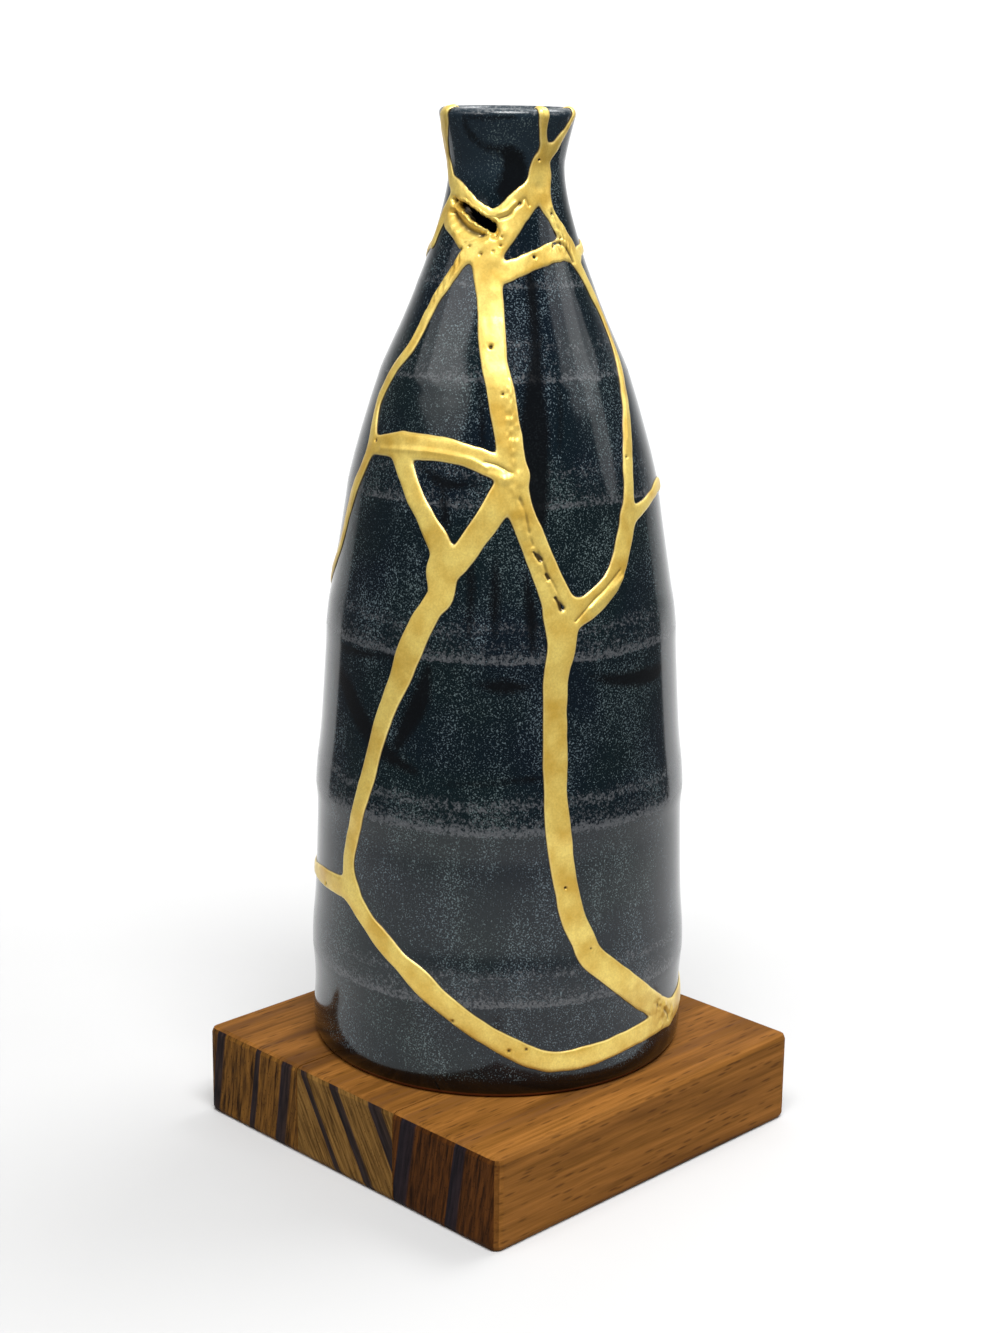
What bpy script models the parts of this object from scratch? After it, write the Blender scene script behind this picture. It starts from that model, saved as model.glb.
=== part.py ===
"""A small bottle vase, broken once and mended with raised gold seams, on a square wooden plinth.

The vase is drawn on a flat map of its own wall: across the map runs the bearing in degrees,
0 at the front and growing to the right, and up the map runs the height above the foot.
The cracks are lines on that map.  What lies between them is a shard, what follows them is
the seam, and every solid is the map lifted back on to the turned wall.

Lengths are in metres.  The origin is at the middle of the plinth's underside, +Z is up and
the plinth's sides run along X and Y.  The front of the vase looks between +X and -Y.
"""

import math

import bmesh
import bpy
import numpy as np
from mathutils import Vector
from mathutils.geometry import delaunay_2d_cdt

# Plinth: boards glued edge to edge, running along Y
plinth_width = 0.100
plinth_depth = 0.100
plinth_height = 0.0221
board_count = 3
edge_round = 0.0013
corner_round = 0.0022

# Vase: the turned wall
vase_height = 0.2178
belly_radius = 0.0446
neck_radius = 0.0130
lip_radius = 0.0156
body_wall = 0.0050
neck_wall = 0.0030
floor_thickness = 0.0038
foot_recess = 0.0012
foot_ring_width = 0.0040
foot_turn_in = 0.0011
foot_height = 0.0035
cove_radius = 0.0015
lift_reach = 0.0280
vase_off_centre = (-0.0039, 0.0031)

# Gold seams
crack_width = 0.0008
seam_half_width = 0.0030
seam_ridge = 0.0006
seam_edge = 0.0002
seam_underlay = 0.0004
seam_rounding = 0.0024
junction_fillet = 0.0006
slot_half_width = 0.0011
slot_lining = 0.0013
fill_half_width = 0.0024
fill_cover = 0.0009

# Gap between two pieces that touch, in the cracks and under the foot
clearance = 0.0003

# Facets
facet_length = 0.0125
neck_facet_length = 0.0044
facet_degrees = 12.0
crack_tolerance = 0.00015
seam_tolerance = 0.00040
station_room = 0.0015
station_room_degrees = 2.5
field_step = 0.0005
field_reach = 0.0120
lip_steps = 4
corner_steps = 3
edge_steps = 2
sharp_degrees = 40.0

# A facet's corner keeps this share of a facet's length clear of the cracks
facet_room_share = 0.6

# Shares of a span between two samples of a curve: along the outline, and along a crack
outline_step = 0.05
course_step = 0.2

# Lengths and bearings that differ by less than these count as the same
same_length = 1e-7
same_bearing = 1e-4
tiny = 1e-9

# The map starts behind the left side, where only level cracks cross its edge
map_start = -120.0
map_end = map_start + 360.0
front_bearing = -45.0

# The neck begins at this share of the height
neck_share = 0.88

# The foot's rounding, from the wall down: share of the turn-in, and share of the foot's height
foot_rounding = [(0.10, 0.55), (0.45, 0.20)]

# The middle of the cove between the inner wall and the floor, as a share of its radius
cove_middle = 0.3

# Outline of the wall: share of the height, and share of the way from neck radius to belly radius
wall_outline = [
    (0.000, 1.000), (0.030, 0.996), (0.064, 0.986), (0.110, 0.999), (0.165, 0.977),
    (0.255, 0.958), (0.294, 0.962), (0.350, 0.928), (0.422, 0.896), (0.478, 0.873),
    (0.514, 0.832), (0.570, 0.769), (0.625, 0.706), (0.680, 0.605), (0.735, 0.481),
    (0.790, 0.314), (0.845, 0.163), (0.900, 0.045), (0.937, 0.000), (0.960, 0.016),
]

# Cracks: width at the start and end as shares of the seam's half width, then the crack's course
# as (bearing in degrees, share of the vase's height)
cracks = {
    "left_neck": (0.75, 0.70, [(-60, 1.01), (-62, 0.985), (-70, 0.960), (-66, 0.935), (-54, 0.921)]),
    "neck_bow_left": (0.60, 0.75, [(-54, 0.921), (-40, 0.915), (-24, 0.903), (-8, 0.897), (12, 0.907)]),
    "neck_bow_right": (1.05, 1.10, [(12, 0.907), (24, 0.917), (33, 0.926), (35, 0.935)]),
    "neck_right": (0.95, 0.75, [(35, 0.935), (35, 0.948), (38, 0.957)]),
    "rim_front": (0.62, 0.62, [(38, 0.957), (34, 0.973), (32, 0.990), (32, 1.01)]),
    "rim_right": (0.62, 0.55, [(38, 0.957), (50, 0.965), (60, 0.977), (70, 0.990), (75, 1.01)]),
    "left_collar": (0.65, 0.60, [(-54, 0.921), (-63, 0.902), (-70, 0.886), (-76, 0.866)]),
    "crown_left": (0.60, 1.10, [(-63, 0.902), (-46, 0.883), (-30, 0.874), (-15, 0.863)]),
    "crown_right": (1.05, 1.15, [(12, 0.907), (3, 0.889), (-7, 0.874), (-15, 0.863)]),
    "right_collar": (0.90, 0.80, [(35, 0.935), (38, 0.909), (45, 0.892), (56, 0.863)]),
    "branch": (1.00, 0.80, [(-12, 0.845), (0, 0.843), (14, 0.850), (34, 0.860), (56, 0.863)]),
    "spine_top": (1.20, 1.00, [(-15, 0.863), (-12, 0.845), (-9, 0.817), (-7, 0.785), (-2, 0.735), (3, 0.671),
                               (4, 0.650)]),
    "spine_low": (0.95, 1.40, [(4, 0.650), (6, 0.620), (10, 0.590), (15, 0.550), (20, 0.510)]),
    "left_slant": (0.90, 0.75, [(-15, 0.863), (-33, 0.852), (-44, 0.822), (-54, 0.765), (-63, 0.735),
                                (-67, 0.705), (-62, 0.665)]),
    "cross": (0.85, 1.05, [(-62, 0.665), (-44, 0.670), (-24, 0.671), (-7, 0.662), (4, 0.650)]),
    "left_down": (0.80, 0.70, [(-62, 0.665), (-65, 0.635), (-72, 0.592), (-78, 0.545), (-95, 0.505),
                               (-125, 0.480), (-165, 0.470)]),
    "triangle_left": (0.85, 1.15, [(-44, 0.670), (-35, 0.632), (-27, 0.602), (-20, 0.553)]),
    "triangle_right": (1.00, 1.00, [(4, 0.650), (-4, 0.611), (-12, 0.575), (-20, 0.553)]),
    "left_leg": (1.15, 0.95, [(-20, 0.553), (-21, 0.525), (-29, 0.475), (-38, 0.400), (-44, 0.325), (-52, 0.235),
                              (-51, 0.200)]),
    "left_foot": (0.95, 0.75, [(-51, 0.200), (-63, 0.197), (-82, 0.189), (-105, 0.170), (-140, 0.120),
                               (-180, 0.075)]),
    "hem": (1.00, 0.90, [(-51, 0.200), (-37, 0.159), (-23, 0.124), (-6, 0.078), (7, 0.051), (19, 0.038),
                         (40, 0.042), (67, 0.046)]),
    "right_leg": (1.30, 1.05, [(20, 0.510), (18, 0.456), (17, 0.344), (19, 0.259), (26, 0.170), (36, 0.125),
                               (54, 0.074), (67, 0.046)]),
    "right_fork": (1.20, 0.85, [(20, 0.510), (34, 0.526), (44, 0.560), (50, 0.600)]),
    "right_rise": (0.90, 0.85, [(50, 0.600), (54, 0.647), (63, 0.704), (73, 0.765), (70, 0.815), (56, 0.863)]),
    "right_side": (0.80, 0.65, [(50, 0.600), (66, 0.612), (83, 0.618), (110, 0.600), (140, 0.540), (195, 0.470)]),
    "right_back": (0.70, 0.55, [(56, 0.863), (64, 0.850), (76, 0.868), (105, 0.862), (145, 0.846), (190, 0.834)]),
    "back_collar": (0.60, 0.55, [(-76, 0.866), (-110, 0.848), (-150, 0.836), (-170, 0.834)]),
    "back_spine": (0.65, 0.70, [(190, 0.834), (182, 0.760), (178, 0.660), (186, 0.560), (195, 0.470)]),
    "back_leg": (0.70, 0.70, [(195, 0.470), (186, 0.380), (190, 0.270), (176, 0.160), (180, 0.075)]),
    "back_hem": (0.90, 0.70, [(67, 0.046), (95, 0.050), (135, 0.060), (180, 0.075)]),
}

# A chip is lost below the neck: part of it is filled with gold, a slot of it is still open
open_slot = [(-52, 0.910), (-38, 0.903), (-26, 0.895), (-13, 0.886)]
filled_chip = [(-52, 0.893), (-38, 0.885), (-24, 0.878), (-8, 0.884)]

# One point inside each shard
shards = {
    "neck_front_shard": (-10, 0.95),
    "neck_rim_sliver": (52, 0.99),
    "neck_back_shard": (140, 0.93),
    "collar_shard": (26, 0.888),
    "shoulder_left_shard": (-85, 0.75),
    "shoulder_front_shard": (-35, 0.75),
    "shoulder_right_shard": (30, 0.70),
    "shoulder_back_shard": (120, 0.75),
    "small_triangle_shard": (-20, 0.63),
    "body_left_shard": (-70, 0.35),
    "body_front_shard": (-10, 0.30),
    "body_right_shard": (70, 0.30),
    "base_shard": (0, 0.030),
}

# Colours from the work, kept linear, with metallic and roughness
finishes = {
    "glaze": ((0.012, 0.019, 0.026), 0.0, 0.16),
    "gold": ((0.760, 0.560, 0.110), 1.0, 0.34),
    "board": ((0.300, 0.130, 0.045), 0.0, 0.55),
}


def smooth_course(points, step):
    """A Catmull-Rom curve through the points, one row per sample, about `step` apart in share of a span."""
    points = np.array(points, dtype=float)
    padded = np.vstack([2 * points[0] - points[1], points, 2 * points[-1] - points[-2]])
    samples = []
    for i in range(len(points) - 1):
        before, start, end, after = padded[i:i + 4]
        t = np.arange(0.0, 1.0, step)[:, None]
        samples.append(0.5 * (2 * start + (end - before) * t
                              + (2 * before - 5 * start + 4 * end - after) * t ** 2
                              + (3 * start - before - 3 * end + after) * t ** 3))
    samples.append(points[-1:])
    return np.vstack(samples)


def outline_table():
    """Height, outer radius and slope of the turned wall, closely sampled."""
    rows = wall_outline + [(1.0, (lip_radius - neck_radius) / (belly_radius - neck_radius))]
    curve = smooth_course(rows, outline_step)
    height = curve[:, 0] * vase_height
    radius = neck_radius + curve[:, 1] * (belly_radius - neck_radius)
    return height, radius, np.gradient(radius, height)


table_height, table_radius, table_slope = outline_table()
vase_bottom = plinth_height + clearance
rim_row = vase_height - neck_wall / 2
foot_row = foot_height
inner_foot_row = foot_recess + floor_thickness + cove_radius


def wall_thickness(height):
    """The wall thins from the body to the neck with the radius."""
    share = (np.interp(height, table_height, table_radius) - neck_radius) / (belly_radius - neck_radius)
    return neck_wall + (body_wall - neck_wall) * np.clip(share, 0.0, 1.0)


def turned(bearing, radius, height):
    """Points of the vase from bearing, radius and height above its foot."""
    angle = np.radians(front_bearing + np.asarray(bearing, dtype=float))
    x = vase_off_centre[0] + radius * np.cos(angle)
    y = vase_off_centre[1] + radius * np.sin(angle)
    return np.stack([x, y, vase_bottom + height + 0 * x], axis=-1)


def section(height, out):
    """Radius and height of the point that lies `out` from the outer wall, along the wall's normal."""
    slope = np.interp(height, table_height, table_slope)
    length = np.sqrt(1 + slope ** 2)
    return np.interp(height, table_height, table_radius) + out / length, height - out * slope / length


def outside(bearing, height, out=0.0):
    radius, level = section(height, out)
    return turned(bearing, radius, level)


def inside(bearing, height):
    """The inner wall, raised near the foot so that the cracks pass above the floor."""
    radius, level = section(height, -wall_thickness(height))
    lift = (inner_foot_row - foot_row) * np.clip(1 - (height - foot_row) / lift_reach, 0.0, 1.0)
    return turned(bearing, radius, level + lift)


def distance_to_course(bearing, height, places, points):
    """Distance from each place to a crack's course, and where along the course that falls (0 to 1).

    Places further from the course than the field's reach all get the reach.
    """
    flat = smooth_course(points, course_step)
    course = outside(flat[:, 0], flat[:, 1] * vase_height)
    low, high = flat[:, 0].min(), flat[:, 0].max()
    turn = (bearing - (low + high) / 2 + 180.0) % 360.0 - 180.0
    margin = math.degrees(field_reach / neck_radius)
    level = flat[:, 1] * vase_height
    near = np.abs(turn) < (high - low) / 2 + margin
    near &= (height > level.min() - field_reach) & (height < level.max() + field_reach)
    best = np.full(len(places), field_reach)
    share = np.zeros(len(places))
    some = places[near]
    some_best = np.full(len(some), field_reach)
    some_share = np.zeros(len(some))
    for i, (start, end) in enumerate(zip(course[:-1], course[1:])):
        along = end - start
        t = np.clip((some - start) @ along / (along @ along), 0.0, 1.0)
        far = np.linalg.norm(some - start - t[:, None] * along, axis=1)
        nearer = far < some_best
        some_best[nearer] = far[nearer]
        some_share[nearer] = (i + t[nearer]) / (len(course) - 1)
    best[near] = some_best
    share[near] = some_share
    return best, share


def measure(bearing, height):
    """Signed distances at map points: to the shards' edges, the seam's edge, its web and the slot."""
    places = outside(bearing, height)
    crack = np.full(len(places), field_reach)
    soft = np.zeros(len(places))
    for start_width, end_width, points in cracks.values():
        far, share = distance_to_course(bearing, height, places, points)
        width = seam_half_width * (start_width + (end_width - start_width) * share)
        crack = np.minimum(crack, far)
        soft += np.exp(-(far - width) / junction_fillet)
    slot = distance_to_course(bearing, height, places, open_slot)[0] - slot_half_width
    fill = distance_to_course(bearing, height, places, filled_chip)[0] - fill_half_width
    mend = np.minimum(slot - slot_lining, fill)
    web = np.minimum(crack - crack_width / 2, mend)
    seam = np.minimum(-junction_fillet * np.log(soft), mend - fill_cover)
    return {"shard": web - clearance, "seam": seam, "web": web, "slot": slot}


def map_grid():
    """A fine grid over the map with the signed distances on it."""
    bearing = np.linspace(map_start, map_end, 1 + round(math.tau * belly_radius / field_step))
    height = np.linspace(foot_row, rim_row, 1 + round((rim_row - foot_row) / field_step))
    across, up = np.meshgrid(bearing, height)
    fields = measure(across.ravel(), up.ravel())
    for name, values in fields.items():
        values = values.reshape(across.shape)
        values[:, -1] = values[:, 0]
        fields[name] = values
    return bearing, height, fields


def contour(bearing, height, values):
    """Lines where the values pass through zero, each a list of map points, from triangles of the grid."""
    columns = len(bearing)
    flat = values.ravel()
    flat = np.where(np.abs(flat) < tiny, tiny, flat)
    row, column = np.meshgrid(np.arange(len(height) - 1), np.arange(columns - 1), indexing="ij")
    corner = (row * columns + column).ravel()
    triangles = np.vstack([
        np.stack([corner, corner + 1, corner + columns + 1], axis=1),
        np.stack([corner, corner + columns + 1, corner + columns], axis=1),
    ])
    sign = flat[triangles] > 0
    crossed = triangles[(sign.sum(axis=1) % 3) != 0]
    place = {}
    neighbours = {}
    for triangle in crossed:
        ends = []
        for k in range(3):
            a, b = sorted((int(triangle[k]), int(triangle[(k + 1) % 3])))
            if (flat[a] > 0) != (flat[b] > 0):
                share = flat[a] / (flat[a] - flat[b])
                here = np.array([bearing[a % columns], height[a // columns]])
                there = np.array([bearing[b % columns], height[b // columns]])
                place[(a, b)] = here + (there - here) * share
                ends.append((a, b))
        neighbours.setdefault(ends[0], []).append(ends[1])
        neighbours.setdefault(ends[1], []).append(ends[0])
    lines = []
    left = set(neighbours)
    starts = [key for key in neighbours if len(neighbours[key]) == 1] + list(neighbours)
    for start in starts:
        if start not in left:
            continue
        line = [start]
        left.discard(start)
        while True:
            onward = [key for key in neighbours[line[-1]] if key in left]
            if not onward:
                break
            line.append(onward[0])
            left.discard(onward[0])
        closed = len(line) > 2 and start in neighbours[line[-1]]
        lines.append((np.array([place[key] for key in line]), closed))
    return lines


def spread(points):
    """Map points in lengths along the wall."""
    radius = np.interp(points[:, 1], table_height, table_radius)
    return np.stack([np.radians(points[:, 0]) * radius, points[:, 1]], axis=1)


def keep_turns(points, tolerance):
    """Indices of the points that a line needs to stay within the tolerance."""
    flat = spread(points)
    keep = {0, len(points) - 1}
    spans = [(0, len(points) - 1)]
    while spans:
        a, b = spans.pop()
        if b - a < 2:
            continue
        base = flat[b] - flat[a]
        length = max(np.linalg.norm(base), tiny)
        offset = flat[a + 1:b] - flat[a]
        far = np.abs(base[0] * offset[:, 1] - base[1] * offset[:, 0]) / length
        if length <= same_length:
            far = np.linalg.norm(offset, axis=1)
        worst = int(np.argmax(far))
        angle = abs(points[b, 0] - points[a, 0])
        if far[worst] > tolerance or length > facet_at(points[a, 1]) or angle > facet_degrees:
            middle = a + 1 + worst if far[worst] > tolerance else (a + b) // 2
            keep.add(middle)
            spans += [(a, middle), (middle, b)]
    return sorted(keep)


def simplified(line, closed, tolerance):
    if closed:
        half = len(line) // 2
        first = keep_turns(line[:half + 1], tolerance)
        second = keep_turns(np.vstack([line[half:], line[:1]]), tolerance)
        return [line[i] for i in first] + [line[(half + i) % len(line)] for i in second[1:-1]]
    return [line[i] for i in keep_turns(line, tolerance)]


def facet_at(height):
    """Facets are shorter where the neck turns."""
    return neck_facet_length if height > neck_share * vase_height else facet_length


def merged_stations(regular, fixed, room):
    """The regular stations, less those that crowd a fixed one, with the fixed ones."""
    free = [value for value in regular if all(abs(value - other) > room for other in fixed)]
    return sorted(free + list(fixed))


class WallMap:
    """A triangulated map of the wall, cut along the zero lines of the given fields."""

    def __init__(self, grid, names):
        bearing, height, fields = grid
        self.low, self.high = height[0], height[-1]
        self.rows = self.levels(self.low, self.high)
        self.columns = list(np.arange(map_start, map_end + same_bearing, facet_degrees))
        self.points = []
        self.edges = []
        lines = self.cut_lines(grid, names)
        self.add_chain(self.border(lines), loop=True)
        for chain, closed in lines:
            self.add_chain(chain, loop=closed)
        self.add_facet_corners()
        result = delaunay_2d_cdt(self.points, self.edges, [], 0, same_length)
        flat = np.array([[v.x, v.y] for v in result[0]])
        self.bearing = np.degrees(flat[:, 0] / belly_radius)
        self.height = flat[:, 1]
        self.triangles = [tuple(face) for face in result[2]]
        self.fixed = {tuple(sorted(edge)) for edge, source in zip(result[1], result[4]) if source}
        self.join_sides()
        self.fields = measure(self.bearing, self.height)
        self.on_rim = np.abs(self.height - self.high) < same_length
        self.on_foot = np.abs(self.height - self.low) < same_length

    @staticmethod
    def cut_lines(grid, names):
        """The zero lines of the fields, with no more points than their tolerance needs."""
        bearing, height, fields = grid
        lines = []
        for name in names:
            tolerance = seam_tolerance if name == "seam" else crack_tolerance
            for line, closed in contour(bearing, height, fields[name]):
                points = simplified(line, closed, tolerance)
                if len(points) > 2 or not closed:
                    lines.append((points, closed))
        return lines

    def border(self, lines):
        """The map's own edge, with a point wherever a cut line ends on it."""
        side = []
        rim = []
        for points, closed in lines:
            for end in () if closed else (points[0], points[-1]):
                if abs(end[0] - map_start) < same_bearing:
                    side.append(end[1])
                if abs(end[1] - self.high) < same_length:
                    rim.append(end[0])
        side_rows = merged_stations(self.rows[1:-1], side, station_room)
        rim_columns = merged_stations(self.columns[1:-1], rim, station_room_degrees)
        chain = [(column, self.low) for column in self.columns]
        chain += [(map_end, row) for row in side_rows] + [(map_end, self.high)]
        chain += [(column, self.high) for column in reversed(rim_columns)] + [(map_start, self.high)]
        return chain + [(map_start, row) for row in reversed(side_rows)]

    def add_chain(self, chain, loop):
        start = len(self.points)
        self.points.extend(Vector((self.across(point[0]), point[1])) for point in chain)
        self.edges.extend((i, i + 1) for i in range(start, len(self.points) - 1))
        if loop:
            self.edges.append((len(self.points) - 1, start))

    def add_facet_corners(self):
        """Points inside the map, every second row shifted by half a facet, clear of the lines."""
        taken = np.array([[point.x, point.y] for point in self.points])
        for i, row in enumerate(self.rows[1:-1]):
            shift = facet_degrees / 2 if i % 2 else 0.0
            for column in self.columns[:-1]:
                place = np.array([self.across(column + shift), row])
                if np.hypot(*(taken - place).T).min() > facet_room_share * facet_at(row):
                    self.points.append(Vector(place))

    @staticmethod
    def across(bearing):
        return math.radians(bearing) * belly_radius

    @staticmethod
    def levels(low, high):
        """Heights of the facets' rows, closer together where the neck turns."""
        rows = [low]
        while rows[-1] < high - facet_at(rows[-1]):
            rows.append(rows[-1] + facet_at(rows[-1]))
        return rows[:-1] + [(rows[-1] + high) / 2, high]

    def join_sides(self):
        """The last column is the first one again."""
        first = np.where(np.abs(self.bearing - map_start) < same_bearing)[0]
        last = np.where(np.abs(self.bearing - map_end) < same_bearing)[0]
        same = {}
        for i in last:
            same[i] = int(first[np.argmin(np.abs(self.height[first] - self.height[i]))])
        self.triangles = [tuple(same.get(i, i) for i in t) for t in self.triangles]
        self.fixed = {
            tuple(sorted((same.get(a, a), same.get(b, b)))) for a, b in self.fixed
            if not (self.is_side(a) and self.is_side(b))
        }

    def is_side(self, i):
        return min(abs(self.bearing[i] - map_start), abs(self.bearing[i] - map_end)) < same_bearing

    def regions(self):
        """Groups of triangles that no cut line parts."""
        by_edge = {}
        for number, triangle in enumerate(self.triangles):
            for k in range(3):
                edge = tuple(sorted((triangle[k], triangle[(k + 1) % 3])))
                by_edge.setdefault(edge, []).append(number)
        group = [-1] * len(self.triangles)
        count = 0
        for first in range(len(self.triangles)):
            if group[first] >= 0:
                continue
            group[first] = count
            waiting = [first]
            while waiting:
                number = waiting.pop()
                triangle = self.triangles[number]
                for k in range(3):
                    edge = tuple(sorted((triangle[k], triangle[(k + 1) % 3])))
                    if edge in self.fixed:
                        continue
                    for other in by_edge[edge]:
                        if group[other] < 0:
                            group[other] = count
                            waiting.append(other)
            count += 1
        return [[t for t, g in zip(self.triangles, group) if g == number] for number in range(count)]

    def corners(self, triangle):
        """Bearings and heights of a triangle, unwrapped where it crosses the map's edge."""
        bearing = self.bearing[list(triangle)].copy()
        if bearing.max() - bearing.min() > 180:
            bearing[bearing < bearing.max() - 180] += 360
        return bearing, self.height[list(triangle)]

    def mean_value(self, triangles, name):
        """A region's mean value of a field, from the triangles' middles, weighted by their areas."""
        middles = []
        areas = []
        for triangle in triangles:
            bearing, height = self.corners(triangle)
            middles.append((bearing.mean(), height.mean()))
            x = np.radians(bearing) * belly_radius
            areas.append(abs((x[1] - x[0]) * (height[2] - height[0]) - (x[2] - x[0]) * (height[1] - height[0])) / 2)
        middles = np.array(middles)
        values = measure(middles[:, 0], middles[:, 1])[name]
        return float(np.average(values, weights=areas))

    def holds(self, triangles, bearing, height):
        for triangle in triangles:
            b, h = self.corners(triangle)
            for turn in (0, 360):
                x = bearing + turn
                side = [(b[(k + 1) % 3] - b[k]) * (height - h[k]) - (h[(k + 1) % 3] - h[k]) * (x - b[k])
                        for k in range(3)]
                if min(side) >= 0 or max(side) <= 0:
                    return True
        return False


class Shell:
    """Points and faces of one solid, with points found again by name."""

    def __init__(self, wall_map):
        self.map = wall_map
        self.points = []
        self.index = {}
        self.faces = []

    def point(self, kind, i, place):
        key = (kind, i)
        if key not in self.index:
            self.index[key] = len(self.points)
            self.points.append(tuple(float(value) for value in place()))
        return self.index[key]

    def outer(self, i, out=0.0, kind="outer"):
        return self.point(kind, i, lambda: outside(self.map.bearing[i], self.map.height[i], out))

    def inner(self, i):
        return self.point("inner", i, lambda: inside(self.map.bearing[i], self.map.height[i]))

    def lip(self, i, step, out, kind):
        """A point of the half round over the lip, `out` from it; step 0 is outside, the last step inside."""
        def place():
            height = self.map.height[i]
            half = wall_thickness(height) / 2
            radius, level = section(height, -half)
            edge_radius, edge_level = section(height, 0.0)
            dr = (edge_radius - radius) / half
            dz = (edge_level - level) / half
            angle = math.pi * step / lip_steps
            reach = half + out
            return turned(
                self.map.bearing[i],
                radius + reach * (dr * math.cos(angle) - dz * math.sin(angle)),
                level + reach * (dz * math.cos(angle) + dr * math.sin(angle)),
            )
        return self.point((kind, step), i, place)

    def strip(self, first, second):
        """Quads between two chains of points of the same length."""
        for k in range(len(first) - 1):
            self.faces.append((first[k], first[k + 1], second[k + 1], second[k]))

    def mesh_object(self, name, finish):
        mesh = bpy.data.meshes.new(name)
        mesh.from_pydata(self.points, [], self.faces)
        form = bmesh.new()
        form.from_mesh(mesh)
        bmesh.ops.remove_doubles(form, verts=form.verts, dist=same_length)
        bmesh.ops.recalc_face_normals(form, faces=form.faces)
        form.to_mesh(mesh)
        form.free()
        mesh.shade_smooth()
        mesh.set_sharp_from_angle(angle=math.radians(sharp_degrees))
        return add_object(name, mesh, finish)


def free_edges(triangles):
    """Directed edges that belong to one triangle only."""
    edges = {}
    for a, b, c in triangles:
        for edge in ((a, b), (b, c), (c, a)):
            edges[edge] = True
    return [edge for edge in edges if (edge[1], edge[0]) not in edges]


def run_ends(edges):
    """Points that only one of the edges touches."""
    count = {}
    for a, b in edges:
        count[a] = count.get(a, 0) + 1
        count[b] = count.get(b, 0) + 1
    return [i for i, times in count.items() if times == 1]


def close_foot(shell, edges):
    """The foot ring, the recess under the floor and the floor inside, turned down from the lowest row."""
    foot_radius = float(section(foot_row, 0.0)[0])
    ring_outer = foot_radius - foot_turn_in
    ring_inner = ring_outer - foot_ring_width
    under = [(foot_radius - turn * foot_turn_in, rise * foot_row) for turn, rise in foot_rounding]
    under += [
        (ring_outer, 0.0),
        (ring_inner, 0.0),
        (ring_inner - foot_recess, foot_recess),
    ]
    floor_top = foot_recess + floor_thickness
    inner_radius = float(section(foot_row, -wall_thickness(foot_row))[0])
    over = [
        (inner_radius - cove_middle * cove_radius, floor_top + cove_middle * cove_radius),
        (inner_radius - cove_radius, floor_top),
    ]
    for kind, rings, start in (("under", under, shell.outer), ("floor", over, shell.inner)):
        for a, b in edges:
            chains = []
            for i in (a, b):
                chain = [start(i)]
                for k, (radius, height) in enumerate(rings):
                    chain.append(shell.point((kind, k), i, lambda: turned(shell.map.bearing[i], radius, height)))
                chains.append(chain)
            shell.strip(*chains)
            middle = shell.point((kind, "middle"), 0, lambda: turned(0.0, 0.0, rings[-1][1]))
            shell.faces.append((chains[0][-1], middle, chains[1][-1]))


def shard_object(wall_map, name, triangles):
    """One shard: outer and inner wall, crack faces between them, and the lip or foot where it has one."""
    shell = Shell(wall_map)
    for a, b, c in triangles:
        shell.faces.append((shell.outer(a), shell.outer(b), shell.outer(c)))
        shell.faces.append((shell.inner(c), shell.inner(b), shell.inner(a)))
    rim = []
    foot = []
    for a, b in free_edges(triangles):
        if wall_map.on_rim[a] and wall_map.on_rim[b]:
            rim.append((a, b))
        elif wall_map.on_foot[a] and wall_map.on_foot[b]:
            foot.append((a, b))
        else:
            shell.faces.append((shell.outer(b), shell.outer(a), shell.inner(a), shell.inner(b)))

    def over_lip(i):
        rounds = [shell.lip(i, step, 0.0, "lip") for step in range(1, lip_steps)]
        return [shell.outer(i)] + rounds + [shell.inner(i)]

    for a, b in rim:
        shell.strip(over_lip(a), over_lip(b))
    for i in run_ends(rim):
        shell.faces.append(tuple(over_lip(i)))
    if foot:
        close_foot(shell, foot)
    return shell.mesh_object(name, "glaze")


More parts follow.
